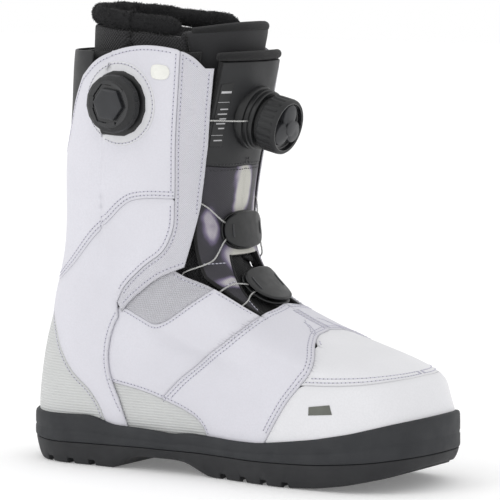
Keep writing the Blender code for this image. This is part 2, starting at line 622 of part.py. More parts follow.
def surface_place(z, phi, offset=0.0):
    """A place on the last whose own Z points straight out."""
    foot, tip = Vector(skin(z, phi, offset)), Vector(skin(z, phi, offset + 1))
    return axis_frame(foot, tip - foot)


# ---- the tongue -------------------------------------------------------------------------------------------------
def make_tongue():
    layer = wall("tongue_skin_layer", *TONGUE_SKIN, TONGUE_LEVELS)
    pad = wall("tongue_pad_layer", lambda z: -wall_depth(z), TONGUE_SKIN[0] - 0.4, TONGUE_LEVELS)
    seam = smooth(TONGUE_SEAM)
    outline = throat_block("tongue_outline", -TONGUE_INSET, TONGUE_HALF_WIDTH, (
        92.6, 98, 105, 112, 118, 124, 130, 137, 146, 160, 180, 200, 223, TONGUE_TOP), -27)
    above = prism("tongue_above", inset([*seam, (260, 320), (90, 320)], 0.2), -80, 80)
    under = prism("tongue_under", inset([*seam, (260, 60), (90, 60)], 0.2), -80, 80)
    for name, mesh, finish, part in (("tongue_pad", pad, "black_fabric", None),
                                     ("tongue_upper", layer, "black_leather", above),
                                     ("tongue_lower", layer.copy(), "printed_fabric", under)):
        made = boolean(add_object(name, mesh, finish), outline, "INTERSECT")
        if part:
            boolean(made, part, "INTERSECT")
    edge = [skin(TONGUE_TOP + 3.4, phi, -4.6) for phi in np.radians(np.linspace(-37, 37, 13))]
    tube("tongue_binding", edge, 2.7, "black_fabric")
    label = add_object("tongue_label", wall("label_layer", TONGUE_SKIN[1] + 0.3, TONGUE_SKIN[1] + 1.0,
                                            TONGUE_LEVELS), "black_leather")
    boolean(label, front_block("label_outline", [(-31, 199), (-23.5, 200), (-24, 238), (-31, 236)]), "INTERSECT")
    make_guide("upper_guide", 147.5, 19.5, 21)
    make_guide("lower_guide", 114.0, 17.5, 19)


def make_guide(name, z, half_width, height):
    """A moulded guide on the tongue, with a mouth on each side where the lace turns back."""
    guide = add_object(name, wall(name + "_layer", TONGUE_SKIN[1] + 0.4, GUIDE_TOP, TONGUE_LEVELS), "black_plastic")
    wide, narrow, high, low = half_width, 0.7 * half_width, 0.5 * height, 0.26 * height
    corners = [(wide, low), (narrow, high), (-narrow, high), (-wide, low),
               (-wide, -low), (-narrow, -high), (narrow, -high), (wide, -low)]
    boolean(guide, front_block(name + "_outline", [(y, z + up) for y, up in corners]), "INTERSECT")
    slot_layer = wall("slot_layer", 0.0, 2.4, TONGUE_LEVELS)
    for side, word in ((-1, "lateral"), (1, "medial")):
        slot = add_object(f"{name}_slot_{word}", slot_layer.copy(), cutter=True)
        mouth = [(wide + 5, 0.45 * height), (4.5, 2.4), (4.5, -2.4), (wide + 5, -0.45 * height)]
        boolean(slot, front_block(f"{name}_mouth_{word}", [(side * y, z + up) for y, up in mouth]), "INTERSECT")
        boolean(guide, slot)


# ---- the dials --------------------------------------------------------------------------------------------------
def side_dial_place():
    return surface_place(SIDE_DIAL["height"], side_angle(SIDE_DIAL["x"], SIDE_DIAL["height"]))


def tongue_dial_place():
    return surface_place(TONGUE_DIAL["height"], 0.0)


def plate(name, outline, low, high, finish):
    """A flat plate on its own XY plane, from low to high."""
    count = len(outline)
    points = [(x, y, z) for z in (low, high) for x, y in outline]
    faces = [tuple(range(count - 1, -1, -1)), tuple(range(count, 2 * count))]
    faces += [(i, (i + 1) % count, count + (i + 1) % count, count + i) for i in range(count)]
    return add_object(name, make_mesh(name, points, faces), finish)


def gear_outline(radius, depth, teeth):
    """The outline of a knurled rim."""
    turn = np.linspace(0, 2 * math.pi, 2 * teeth, endpoint=False)
    reach = [radius - (depth if k % 2 else 0) for k in range(2 * teeth)]
    return [(r * math.cos(a), r * math.sin(a)) for r, a in zip(reach, turn)]


def make_dial(name, dial, where, saddle, base_outline, cap_outline):
    """A lace dial: base, cup, spool, ratchet disc and screw, under a knob with a rubber grip and a cap."""
    base_top, cup_top, knob_low, knob_top, cap_top = dial["levels"]
    radius = dial["knob_radius"]
    base = place(plate(f"{name}_base", base_outline, -7.0, base_top, "black_plastic"), where)
    boolean(base, saddle)
    floor = base_top + 0.3 + 1.5
    cup_radius = radius - 2.9
    place(turned(f"{name}_cup", [(2.6, floor), (cup_radius - 1.4, floor), (cup_radius - 1.4, cup_top),
                                 (cup_radius, cup_top), (cup_radius, base_top + 0.3), (2.6, base_top + 0.3)],
                 "black_plastic"), where)
    room = cup_top - floor
    spool_low, spool_top = floor + 0.3, floor + 0.3 + 0.62 * room
    spool_radius = cup_radius - 2.4
    third = (spool_top - spool_low) / 3
    place(turned(f"{name}_spool", [
        (2.7, spool_top), (spool_radius, spool_top), (spool_radius, spool_top - third),
        (spool_radius - 3, spool_top - third), (spool_radius - 3, spool_low + third),
        (spool_radius, spool_low + third), (spool_radius, spool_low), (2.7, spool_low)], "black_plastic"), where)
    disc_low = spool_top + 0.3
    disc_top = disc_low + 0.3 * room
    disc = place(plate(f"{name}_ratchet", gear_outline(cup_radius - 1.9, 0.8, 14), disc_low, disc_top,
                       "black_plastic"), where)
    bore = place(cylinder(f"{name}_bore", 2.7, -20, 40, sides=20, cutter=True), where)
    boolean(disc, bore)
    place(turned(f"{name}_screw", [(0, disc_top + 1.3), (3.6, disc_top + 1.3), (3.6, disc_top + 0.3),
                                   (2.2, disc_top + 0.3), (2.2, base_top + 0.5), (0, base_top + 0.5)],
                 "screw_steel", steps=16), where)
    under = knob_top - dial["knob_roof"]
    place(turned(f"{name}_knob", [
        (0, knob_top), (radius - 2.0, knob_top), (radius - 1.4, knob_top - 0.8), (radius - 1.4, knob_low),
        (radius - 2.4, knob_low), (radius - 2.4, under), (0, under)], "black_plastic"), where)
    grip = place(plate(f"{name}_grip", gear_outline(radius, 0.7, dial["teeth"]), knob_low, knob_top - 1.2,
                       "black_plastic"), where)
    boolean(grip, place(cylinder(f"{name}_grip_bore", radius - 1.05, -20, 60, sides=20, cutter=True), where))
    place(plate(f"{name}_cap", cap_outline, knob_top + 0.3, cap_top, "black_plastic"), where)


def three_lobes(radius, waist):
    """An outline with three broad arms, as on the tongue dial's cap."""
    turn = np.linspace(0, 2 * math.pi, 36, endpoint=False)
    reach = waist + (radius - waist) * (0.5 + 0.5 * np.cos(3 * turn)) ** 0.6
    return [(r * math.cos(a), r * math.sin(a)) for r, a in zip(reach, turn)]


def facets(radius, corners, start_deg=0.0):
    turn = np.radians(start_deg) + np.linspace(0, 2 * math.pi, corners, endpoint=False)
    return [(radius * math.cos(a), radius * math.sin(a)) for a in turn]


def make_dials():
    over_cuff = add_object("saddle_cuff", wall("saddle_cuff", -30, OVERLAY[1] + 0.6), cutter=True)
    over_tongue = add_object("saddle_tongue", wall("saddle_tongue", -30, TONGUE_SKIN[1] + 0.5, TONGUE_LEVELS),
                             cutter=True)
    side, front = side_dial_place(), tongue_dial_place()
    make_dial("side_dial", SIDE_DIAL, side, over_cuff, side_base_outline(), facets(14.0, 7, 20))
    boss = place(cylinder("side_dial_boss", BOSS_RADIUS, -2.4, 3.0, cutter=True), side)
    boolean(bpy.data.objects["side_dial_base"], boss, "UNION")
    make_dial("tongue_dial", TONGUE_DIAL, front, over_tongue, facets(TONGUE_DIAL["base_radius"], 24),
              three_lobes(13.5, 6.5))
    for name, where, height, depth in (("side_dial", side, SIDE_PORT, 4.6), ("tongue_dial", front, FRONT_PORT, 14)):
        for word, turn in (("a", 0), ("b", math.pi)):
            hole = cylinder(f"{name}_port_{word}", PORT_RADIUS, depth, 30, sides=10, cutter=True)
            port = Matrix.Rotation(turn, 4, "Z") @ Matrix.Rotation(math.pi / 2, 4, "Y")
            place(hole, where @ Matrix.Translation((0, 0, height)) @ port)
            boolean(bpy.data.objects[f"{name}_base"], hole)


def side_base_outline():
    """A round plate with flat facets and a lobe that points down and back."""
    outline = facets(SIDE_DIAL["base_radius"], 16, 11.25)
    lobe = Vector((-0.55, -0.83)) * (SIDE_DIAL["base_radius"] + 3.0)
    nearest = min(range(16), key=lambda i: (Vector(outline[i]) - lobe).length)
    outline[nearest] = tuple(lobe)
    return outline


# ---- the laces --------------------------------------------------------------------------------------------------
def front_angle(z, y):
    """The angle at which the last has this y at this height, in its front half."""
    low, high = 0.0, math.pi / 2
    for _ in range(40):
        middle = (low + high) / 2
        low, high = (middle, high) if float(last_point(z, middle)[1]) < abs(y) else (low, middle)
    return math.copysign(low, y)


def at_width(height, half, side, offset):
    """The point of an offset surface at this height and this half width."""
    width = half
    for _ in range(5):
        point = skin(height, front_angle(height, side * width), offset)
        width += half - abs(point[1])
    return point


def station_point(side, z, where, offset):
    if isinstance(where, tuple):
        phi = side * math.radians(where[0])
        return skin(z, (phi + math.pi) % (2 * math.pi) - math.pi, offset)
    if isinstance(where, list):
        inner, outer = throat_ray(z, -30)
        slope = (outer[2] - inner[2]) / (outer[0] - inner[0])
        height = z
        for _ in range(30):
            point = at_width(height, throat_half(z) + where[0], side, offset)
            height += 0.3 * (inner[2] + slope * (point[0] - inner[0]) - point[2])
        return point
    height = z
    for _ in range(6):
        point = at_width(height, where, side, offset)
        height += z - point[2]
    return point


def lace_path(start, side, stations, spacing=6.5):
    """Points of a lace that runs on one side of the boot: -1 outer, 1 inner."""
    return smooth([*start, *(station_point(side, *station) for station in stations)], spacing)


def sleeve(name, points, outer, bore, finish, sides=8):
    """A tube with a bore along a path."""
    path = [Vector(p) for p in points]
    shells = {outer: [], bore: []}
    across = Vector((0, 0, 1))
    for before, here, after in zip([path[0], *path], path, [*path[1:], path[-1]]):
        along = (after - before).normalized()
        across = (across - along * across.dot(along)).normalized()
        other = along.cross(across)
        for radius, rings in shells.items():
            rings.append([here + (across * math.cos(a) + other * math.sin(a)) * radius
                          for a in np.linspace(0, 2 * math.pi, sides, endpoint=False)])
    return add_object(name, loft(name, shells[outer] + shells[bore][::-1]), finish)


def make_laces():
    low, high = SLEEVE["heights"]
    for side, word in ((-1, "lateral"), (1, "medial")):
        start = [side_dial_place() @ Vector((-side * out, 0, SIDE_PORT - drop)) for out, drop in ((5, 0), (9, 0.1))]
        path = lace_path(start, side, SHELL_LACE_START[word] + SHELL_LACE_FRONT)
        tube(f"shell_lace_{word}", path, LACE_RADIUS, "steel_lace")
        turn = [Vector(p) for p in path if low < p[2] < high and abs(p[1]) > SLEEVE["least_y"]]
        turn[0], turn[-1] = turn[0].lerp(turn[1], 0.25), turn[-1].lerp(turn[-2], 0.25)
        sleeve(f"lace_sleeve_{word}", turn, SLEEVE["outer"], SLEEVE["bore"], "black_fabric")
        start = [tongue_dial_place() @ Vector((side * out, 0, FRONT_PORT)) for out in (15.5, 20.5)]
        tube(f"harness_lace_{word}", lace_path(start, side, HARNESS_LACE), LACE_RADIUS, "steel_lace")


# ---- the liner --------------------------------------------------------------------------------------------------
def liner_ring(z, depth):
    return skin(z, angles(INNER_AROUND), np.full(INNER_AROUND, -depth))


def flat_ring(depth, above):
    """A ring of the liner's flat parts, at a height above the lasting board."""
    ring = skin(LINER_SECTION, angles(INNER_AROUND), np.full(INNER_AROUND, -depth))
    ring[:, 2] = hem_height(ring[:, 0], above)
    return ring


def make_liner():
    levels = (*HEIGHTS, LINER_TOP)
    foot, sock = liner_depth(HEIGHTS[0]), liner_depth(HEIGHTS[0]) + liner_thickness(HEIGHTS[0])
    bottom = LINER_SOLE + 0.3
    out = [flat_ring(foot + 2, bottom), flat_ring(foot, bottom + 3)]
    out += [liner_ring(z, liner_depth(z)) for z in levels]
    hollow = [liner_ring(z, liner_depth(z) + liner_thickness(z)) for z in levels[::-1]]
    hollow += [flat_ring(sock, bottom + LINER_FLOOR)]
    liner = add_object("liner_body", loft("liner_body", out + hollow, capped=True), "black_fabric")
    opening = [(118, 300), (127, 262), (134, 238), (142, 226), (220, 226), (220, 300)]
    boolean(liner, prism("liner_opening", opening, -90, 90))
    flap_levels = (208, 236, 262, LINER_TOP)
    flap = add_object("liner_flap", wall("liner_flap", lambda z: -liner_depth(z) - liner_thickness(z) + 0.6,
                                         lambda z: -liner_depth(z) - 0.6, flap_levels, INNER_AROUND),
                      "black_fabric")
    boolean(flap, prism("flap_outline", inset(opening, 0.5), -90, 90), "INTERSECT")
    collar = add_object("liner_collar", wall("liner_collar",
                                             lambda z: -liner_depth(z) - liner_thickness(z) - 1,
                                             lambda z: -liner_depth(z) + 2,
                                             (LINER_TOP + 0.4, COLLAR_TOP - 3, COLLAR_TOP), INNER_AROUND), "fur")
    boolean(collar, prism("collar_opening", inset(opening, -0.8), -90, 90))
    add_object("liner_sole", loft("liner_sole", [flat_ring(foot + 1, 0), flat_ring(foot + 1, LINER_SOLE)],
                                  capped=True), "sole_rubber")
    add_object("footbed", loft("footbed", [flat_ring(sock + 0.8, bottom + LINER_FLOOR + 0.4),
                                           flat_ring(sock + 1.4, bottom + LINER_FLOOR + 0.4 + FOOTBED)],
                               capped=True), "grey_mesh")


# ---- the whole boot ---------------------------------------------------------------------------------------------
def main():
    throat = throat_block("throat", 0.0, 99, (
        91, 98, 105, 112, 118, 124, 130, 135, 140, 146, 154, 168, 180, 200, 223, 245, 275), -32)
    make_sole()
    make_upper(throat)
    make_lining(throat)
    make_tongue()
    make_dials()
    make_laces()
    make_liner()


main()
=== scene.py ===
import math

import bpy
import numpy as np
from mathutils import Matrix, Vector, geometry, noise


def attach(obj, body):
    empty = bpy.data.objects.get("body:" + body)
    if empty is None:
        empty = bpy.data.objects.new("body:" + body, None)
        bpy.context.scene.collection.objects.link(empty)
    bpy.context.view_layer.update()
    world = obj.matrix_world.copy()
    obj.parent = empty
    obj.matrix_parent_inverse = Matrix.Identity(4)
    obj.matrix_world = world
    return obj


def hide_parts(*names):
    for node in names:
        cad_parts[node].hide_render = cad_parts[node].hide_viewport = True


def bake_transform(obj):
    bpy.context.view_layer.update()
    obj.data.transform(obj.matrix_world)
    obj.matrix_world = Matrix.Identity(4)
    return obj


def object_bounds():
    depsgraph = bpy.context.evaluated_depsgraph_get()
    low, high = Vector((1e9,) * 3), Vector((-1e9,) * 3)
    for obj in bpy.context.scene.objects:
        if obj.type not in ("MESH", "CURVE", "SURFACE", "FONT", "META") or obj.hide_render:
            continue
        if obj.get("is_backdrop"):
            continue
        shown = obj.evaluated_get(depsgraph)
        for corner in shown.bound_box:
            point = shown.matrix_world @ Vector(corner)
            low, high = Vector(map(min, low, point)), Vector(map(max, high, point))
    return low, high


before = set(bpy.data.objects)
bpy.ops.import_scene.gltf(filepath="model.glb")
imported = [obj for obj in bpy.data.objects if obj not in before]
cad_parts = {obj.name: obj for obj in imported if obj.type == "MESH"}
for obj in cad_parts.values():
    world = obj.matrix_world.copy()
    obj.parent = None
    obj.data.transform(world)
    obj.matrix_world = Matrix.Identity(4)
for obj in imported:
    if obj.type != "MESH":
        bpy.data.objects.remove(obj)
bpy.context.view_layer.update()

# The looks of a right snowboard boot with two lace dials.
# Lengths are millimetres in the boot's own axes: +X to the toe, +Z up, -Y the outer side, and
# x = 0 at the back of the heel. metres() turns them into the row frame.
# A point of the upper is (phi, z) on the last: the angle from the toe, negative on the outer
# side, and the height.

ORIGIN = np.array((144.561, -5.487, 0.0))
PI = math.pi
SIDES = (("lateral", -1), ("medial", 1))

# ---- the last, and the seams: as in the CAD where no comment says otherwise --------------------
SECTIONS = np.array([
    (10.0, 8.0, 281.0, 35, 37, 49, 33, 47, 46, 36), (25.0, 5.0, 284.0, 37, 39, 51, 35, 49, 48, 38),
    (40.0, 5.0, 284.0, 38, 40, 51, 36, 49, 49, 39), (55.0, 7.0, 280.0, 38, 40, 50, 37, 48, 50, 39),
    (67.0, 9.0, 272.0, 38, 40, 48, 37, 46, 53, 39), (78.0, 11.5, 242.0, 38, 39, 46, 37, 44, 58, 39),
    (90.0, 15.0, 206.0, 38, 39, 44, 37, 42, 56, 39), (105.0, 18.5, 173.0, 39, 39, 42, 38, 41, 50, 40),
    (125.0, 24.0, 152.5, 40, 41, 42, 40, 41, 47, 41), (150.0, 27.5, 145.0, 42, 43, 44, 42, 43, 46, 43),
    (180.0, 28.0, 147.0, 44, 45, 46, 44, 45, 48, 45), (215.0, 31.0, 154.0, 46, 47, 48, 46, 47, 50, 47),
    (250.0, 33.0, 163.0, 47, 48, 48, 47, 47, 51, 48), (290.0, 35.0, 173.0, 47, 48, 48, 47, 47, 51, 48)])
ROUNDNESS = 2.25
MIDSOLE_FLOOR, TOE_LIFT, BOARD_THICKNESS = 18.9, 7.6, 1.7
TREAD_DEPTH = 3.6
SOLE_LEVEL, LINER_SECTION = 38.0, 40.0
LINER_SOLE, LINER_FLOOR, FOOTBED = 4.4, 3.6, 3.6
LINER_TOP, COLLAR_TOP = 272.5, 284.5    # each 6.5 lower than in the CAD
RIM_OUTER = 4.6
HEM = 23.0              # the bottom of the upper, inside the cup sole
GROUND = ((0, 9), (5, 4.5), (12, 0.8), (17, 0), (76, 0), (80, 2.5), (86, 7), (94, 8.5), (118, 8.5),
          (128, 7.5),
          (138, 3), (145, 0), (206, 0), (225, 1.2), (246, 4.4), (266, 9), (282, 14), (292, 18))
PARTING = ((0, 16), (30, 14.2), (100, 15.6), (180, 15.0), (225, 16.3), (260, 19.6), (292, 24))
RIM_TOP = ((0, 31), (25, 31), (60, 32), (70, 29), (76, 27.2), (100, 26.8), (122, 25), (132, 26.6), (140, 26),
           (165, 25), (185, 25.4), (205, 28), (226, 31), (250, 36), (272, 42), (292, 46.5))
CUFF_TOP = ((143, 247), (138, 253), (130, 257.5), (116, 260), (100, 260), (85, 257), (70, 251), (58, 241))
CUFF_LOWER = ((127, 126.5), (110, 119), (94, 107.5), (82, 97), (75, 85), (72, 72), (73, 59), (79, 45),
              (87, 31),
              (94, 15))
BAND_SEAM = ((130, 259), (127, 228), (124, 200), (121.5, 165), (120, 149), (114, 136), (101, 126.5),
             (88, 115),
             (79, 103))
ANKLE_SEAM = ((123, 168), (106, 168), (94, 166), (87, 162), (78, 154), (66, 144), (45, 123), (30, 113),
              (14, 110))
SPINE_EDGE = ((58, 241), (50, 226), (44, 210), (37, 196), (24, 186))
COUNTER_EDGE = ((4, 102), (20, 98), (30, 85), (37, 70), (46, 57), (57, 48), (64, 40), (69, 30), (73, 15))
MESH_SEAM = ((80, 101), (98, 94), (107, 91), (115, 93), (126, 100), (141, 111), (152, 121))
QUARTER_SEAM = ((178, 106), (171, 94), (160, 84), (142, 71), (124, 58), (111, 45.5))
ARCH_SEAM = ((73, 53), (90, 50.5), (103, 47.8), (114, 44.5), (127, 40), (137, 35), (143, 28), (144, 15))
QUARTER_FRONT = ((196, 100), (206, 90), (213, 84), (220, 76), (220.5, 70), (215, 62), (207, 52), (198, 38),
                 (184, 15))
RAND_SEAM = ((215, 62), (237, 63), (254, 64.3), (268, 66.2), (290, 69))
TAB_NOTCH = ((190, 13), (201, 15.5), (208, 21), (214.5, 27.5), (214.5, 30), (208, 34), (201, 60), (190, 60))
THROAT = ((92, 24), (98, 26), (105, 27.5), (112, 29), (118, 31), (124, 34), (130, 38), (135, 40), (140, 38),
          (146, 36), (154, 35), (180, 35), (200, 36), (223, 39), (245, 41), (275, 42))
TONGUE_INSET, TONGUE_HALF_WIDTH, TONGUE_TOP = 3.0, 32.5, 250.0
TONGUE_SEAM = ((120, 191), (146, 186), (175, 192))
SIDE_DIAL = (225.0, 88.0)      # height and x
TONGUE_DIAL = (216.0, 0.0)    # height and y
# Not in the CAD: the rim draws in to the toe by this much, and the liner top drops by this much per mm forward.
SOLE_CLOSES_IN, TOP_FALL = 1.9, 0.085


def metres(points):
    return (np.asarray(points, float) - ORIGIN) * 0.001


def natural_spline(knots, values):
    """A function through the points, smooth to its second derivative."""
    knots, values = np.asarray(knots, float), np.asarray(values, float)
    steps = np.diff(knots)
    slopes = np.diff(values) / steps
    count = len(knots)
    matrix, right = np.eye(count), np.zeros(count)
    for i in range(1, count - 1):
        matrix[i, i - 1:i + 2] = steps[i - 1], 2 * (steps[i - 1] + steps[i]), steps[i]
        right[i] = 6 * (slopes[i] - slopes[i - 1])
    bends = np.linalg.solve(matrix, right)

    def at(where):
        where = np.clip(where, knots[0], knots[-1])
        i = np.clip(np.searchsorted(knots, where) - 1, 0, count - 2)
        left, gap = where - knots[i], knots[i + 1] - where
        return ((bends[i] * gap**3 + bends[i + 1] * left**3) / (6 * steps[i])
                + (values[i] / steps[i] - bends[i] * steps[i] / 6) * gap
                + (values[i + 1] / steps[i] - bends[i + 1] * steps[i] / 6) * left)
    return at


(BACK, FRONT, HEEL_WIDTH, OUTER_WAIST, OUTER_BALL, INNER_WAIST, INNER_BALL, FRONT_REACH, BACK_REACH) = (
    natural_spline(SECTIONS[:, 0], SECTIONS[:, column]) for column in range(1, 10))


def ease(share):
    share = np.clip(share, 0.0, 1.0)
    return share * share * (3 - 2 * share)


def last_point(z, phi):
    """The last's own surface, as an array of points (..., 3)."""
    z, phi = np.broadcast_arrays(np.asarray(z, float), np.asarray(phi, float))
    back, front = BACK(z), FRONT(z)
    x = back + (front - back) * (1 + np.cos(phi)) / 2
    heel, reach_back, reach_front = HEEL_WIDTH(z), BACK_REACH(z), FRONT_REACH(z)
    outer = np.sin(phi) < 0
    waist = np.where(outer, OUTER_WAIST(z), INNER_WAIST(z))
    ball = np.where(outer, OUTER_BALL(z), INNER_BALL(z))
    heel_x, ball_x = back + reach_back, front - 1.55 * reach_front
    waist_x = (heel_x + ball_x) / 2
    half = np.where(x < waist_x,
                    heel + (waist - heel) * ease((x - heel_x) / np.maximum(waist_x - heel_x, 1)),
                    waist + (ball - waist) * ease((x - waist_x) / np.maximum(ball_x - waist_x, 1)))
    into_back = np.clip((heel_x - x) / reach_back, 0, 1)
    into_front = np.clip((x - front + reach_front) / reach_front, 0, 1)
    for into in (into_back, into_front):
        half = half * (1 - into**ROUNDNESS) ** (1 / ROUNDNESS)
    return np.stack([x, np.where(outer, -half, half), z], axis=-1)


def slopes(z, phi, step=1e-3):
    """How the surface runs with phi and with z."""
    along = (last_point(z, phi + step) - last_point(z, phi - step)) / (2 * step)
    up = (last_point(z + step, phi) - last_point(z - step, phi)) / (2 * step)
    return along, up


def skin(z, phi, offset=0.0):
    """The last's surface moved outwards by offset, which may differ from point to point."""
    z, phi = np.broadcast_arrays(np.asarray(z, float), np.asarray(phi, float))
    along, up = slopes(z, phi)
    normal = np.cross(along, up)
    normal /= np.linalg.norm(normal, axis=-1, keepdims=True)
    return last_point(z, phi) + normal * np.asarray(offset, float)[..., None]


def wall_depth(z):
    return 6.4 + 3.0 * ease((np.asarray(z, float) - 120) / 120)


def liner_depth(z):
    return wall_depth(z) + 0.7 + 1.6 * ease((np.asarray(z, float) - 25) / 25)


def liner_thickness(z):
    return 5.0 + 2.0 * ease((np.asarray(z, float) - 110) / 60)


def profile(table, soft=0.0):
    """A height that runs along the boot, from a table of (x, height), with its corners softened."""
    xs, heights = zip(*table)
    shifts = np.linspace(-soft, soft, 7)
    return lambda x: np.mean([np.interp(np.asarray(x, float) + s, xs, heights) for s in shifts], axis=0)


def curve(points, spacing=2.0):
    """A polyline through the points along a centripetal curve, as an array."""
    pts = [np.asarray(p, float) for p in points]
    pts = [2 * pts[0] - pts[1], *pts, 2 * pts[-1] - pts[-2]]
    line = []
    for a, b, c, d in zip(pts, pts[1:], pts[2:], pts[3:]):
        steps = max(1, round(float(np.linalg.norm(c - b)) / spacing))
        t0, t1 = 0.0, max(float(np.linalg.norm(b - a)), 1e-6) ** 0.5
        t2 = t1 + max(float(np.linalg.norm(c - b)), 1e-6) ** 0.5
        t3 = t2 + max(float(np.linalg.norm(d - c)), 1e-6) ** 0.5
        for k in range(steps):
            t = t1 + (t2 - t1) * k / steps
            ab, bc, cd = (p + (q - p) * ((t - u) / (v - u))
                          for p, q, u, v in ((a, b, t0, t1), (b, c, t1, t2), (c, d, t2, t3)))
            abc, bcd = ab + (bc - ab) * ((t - t0) / (t2 - t0)), bc + (cd - bc) * ((t - t1) / (t3 - t1))
            line.append(abc + (bcd - abc) * ((t - t1) / (t2 - t1)))
    return np.array([*line, pts[-2]])


def part(line, low_x=-999, high_x=999, low_z=-999, high_z=999):
    """The points of a seam that lie in a box."""
    x, z = line[:, 0], line[:, 1]
    return line[(x > low_x) & (x < high_x) & (z > low_z) & (z < high_z)]


# ---- from a side, front or top view to (phi, z) ---------------------------------------------------
def dense(points, step=2.0, closed=True):
    pts = np.asarray(points, float)
    after = np.roll(pts, -1, axis=0) if closed else pts[1:]
    out = []
    for a, b in zip(pts, after):
        count = max(1, int(np.linalg.norm(b - a) / step))
        out += [a + (b - a) * k / count for k in range(count)]
    if not closed:
        out.append(pts[-1])
    return np.array(out)


FRONT_PHI = np.linspace(1e-5, PI / 2 + 0.1, 260)


def from_side(points, side=1, closed=True, step=2.0):
    """(x, z) as seen from the side, to (phi, z): side is -1 on the outer side and 1 on the inner."""
    pts = dense(points, step, closed)
    z = np.clip(pts[:, 1], HEM, None)
    back, front = BACK(z), FRONT(z)
    phi = np.arccos(np.clip(2 * (pts[:, 0] - back) / (front - back) - 1, -1, 1))
    out = np.stack([side * phi, z], axis=1)
    keep = np.linalg.norm(out - np.roll(out, 1, axis=0), axis=1) > 1e-5
    if not closed:
        keep[0] = True
    return out[keep]


def front_angle(z, y):
    """The angle at which the last has this y at this height, in its front half."""
    width = last_point(z, FRONT_PHI)[:, 1]
    most = int(np.argmax(width)) + 1
    return math.copysign(float(np.interp(abs(y), width[:most], FRONT_PHI[:most])), y)


def from_front(points):
    """(y, z) as seen from the front."""
    return np.array([(front_angle(z, y), z) for y, z in dense(points, 2.0)])


def from_top(points, side):
    """(x, y) as seen from above, on the instep."""
    heights = np.linspace(45.0, 124.0, 240)
    out = []
    for x, y in dense(points, 2.0):
        phi = np.arccos(np.clip(2 * (x - BACK(heights)) / (FRONT(heights) - BACK(heights)) - 1, -1, 1))
        width = np.abs(last_point(heights, phi)[:, 1])
        k = int(np.argmax(width <= y)) if (width <= y).any() else len(heights) - 1
        out.append((side * max(float(phi[k]), 0.02), float(heights[k])))
    return np.array(out)


def throat_half(z):
    return float(np.interp(z, *zip(*THROAT)))


def throat_ray(z, depth, height=22.0):
    """Two points on the throat's middle line: square to the instep, level up the shaft."""
    ends = skin(z, 0.0, depth), skin(z, 0.0, height)
    for end in ends:
        end[2] += (z - end[2]) * ease((z - 130) / 60)
    return ends


def at_width(height, half, side, offset):
    """The point of an offset surface at this height and this half width, and its angle."""
    width = half
    for _ in range(4):
        phi = front_angle(height, side * width)
        point = skin(height, phi, offset)
        width += half - abs(point[1])
    return point, phi


def throat_point(z, half, offset=0.0, side=1):
    """Where the throat's plane at z meets the surface at a half width: the point and (phi, height)."""
    inner, outer = throat_ray(z, -30)
    slope = (outer[2] - inner[2]) / (outer[0] - inner[0])
    height = z
    for _ in range(14):
        point, phi = at_width(height, half, side, offset)
        height += 0.35 * (inner[2] + slope * (point[0] - inner[0]) - point[2])
    return point, (phi, height)


def throat_line(grow, most, heights):
    """(phi, z) up the inner side's edge of the throat, moved away from the middle by grow."""
    return np.array([throat_point(z, min(throat_half(z) + grow, most))[1] for z in heights])


def mirrored(half_line):
    """A loop from a line on the inner side, up to the middle of the front, and its mirror image."""
    other = half_line[::-1] * (-1, 1)
    return np.vstack([half_line, other])


def across(loop, at=0.0):
    """A loop on the inner side that reaches the middle line, at phi = at, joined to its mirror image."""
    on = np.abs(loop[:, 0] - at) < 1e-4
    start = next(i for i in range(len(loop)) if on[i - 1] and not on[i])
    loop, on = np.roll(loop, -start, axis=0), np.roll(on, -start)
    chain = loop[:int(np.argmax(on)) + 1]
    first = loop[-1:]
    half = np.vstack([first, chain])
    other = half[::-1].copy()
    other[:, 0] = 2 * at - other[:, 0]
    return np.vstack([half, other[1:-1]])


SCALE = np.array((60.0, 1.0))    # (phi, z) to a roughly even plane


def inside(points, loop):
    """Which points lie in the loop."""
    x, y = points[:, 0][:, None], points[:, 1][:, None]
    a, b = loop, np.roll(loop, -1, axis=0)
    crosses = (a[:, 1] > y) != (b[:, 1] > y)
    with np.errstate(divide="ignore", invalid="ignore"):
        where = (b[:, 0] - a[:, 0]) * (y - a[:, 1]) / (b[:, 1] - a[:, 1]) + a[:, 0]
    return (crosses & (x < where)).sum(axis=1) % 2 == 1


def clipped(loop, hole):
    """The loop with the hole taken away. The largest piece is kept."""
    count = len(loop)
    spots = [Vector(p * SCALE) for p in np.vstack([loop, hole])]
    edges = [(i, (i + 1) % count) for i in range(count)]
    edges += [(count + i, count + (i + 1) % len(hole)) for i in range(len(hole))]
    found = geometry.delaunay_2d_cdt(spots, edges, [], 0, 1e-4)
    verts = np.array([tuple(v) for v in found[0]]) / SCALE
    faces = np.array(found[2])
    middle = verts[faces].mean(axis=1)
    faces = faces[inside(middle, loop) & ~inside(middle, hole)]
    directed = {(f[i], f[(i + 1) % 3]) for f in faces.tolist() for i in range(3)}
    follow = {a: b for a, b in directed if (b, a) not in directed}
    best, left = [], set(follow)
    while left:
        ring, here = [], next(iter(left))
        while here in left:
            left.discard(here)
            ring.append(here)
            here = follow[here]
        if len(ring) > len(best):
            best = ring
    return verts[best]


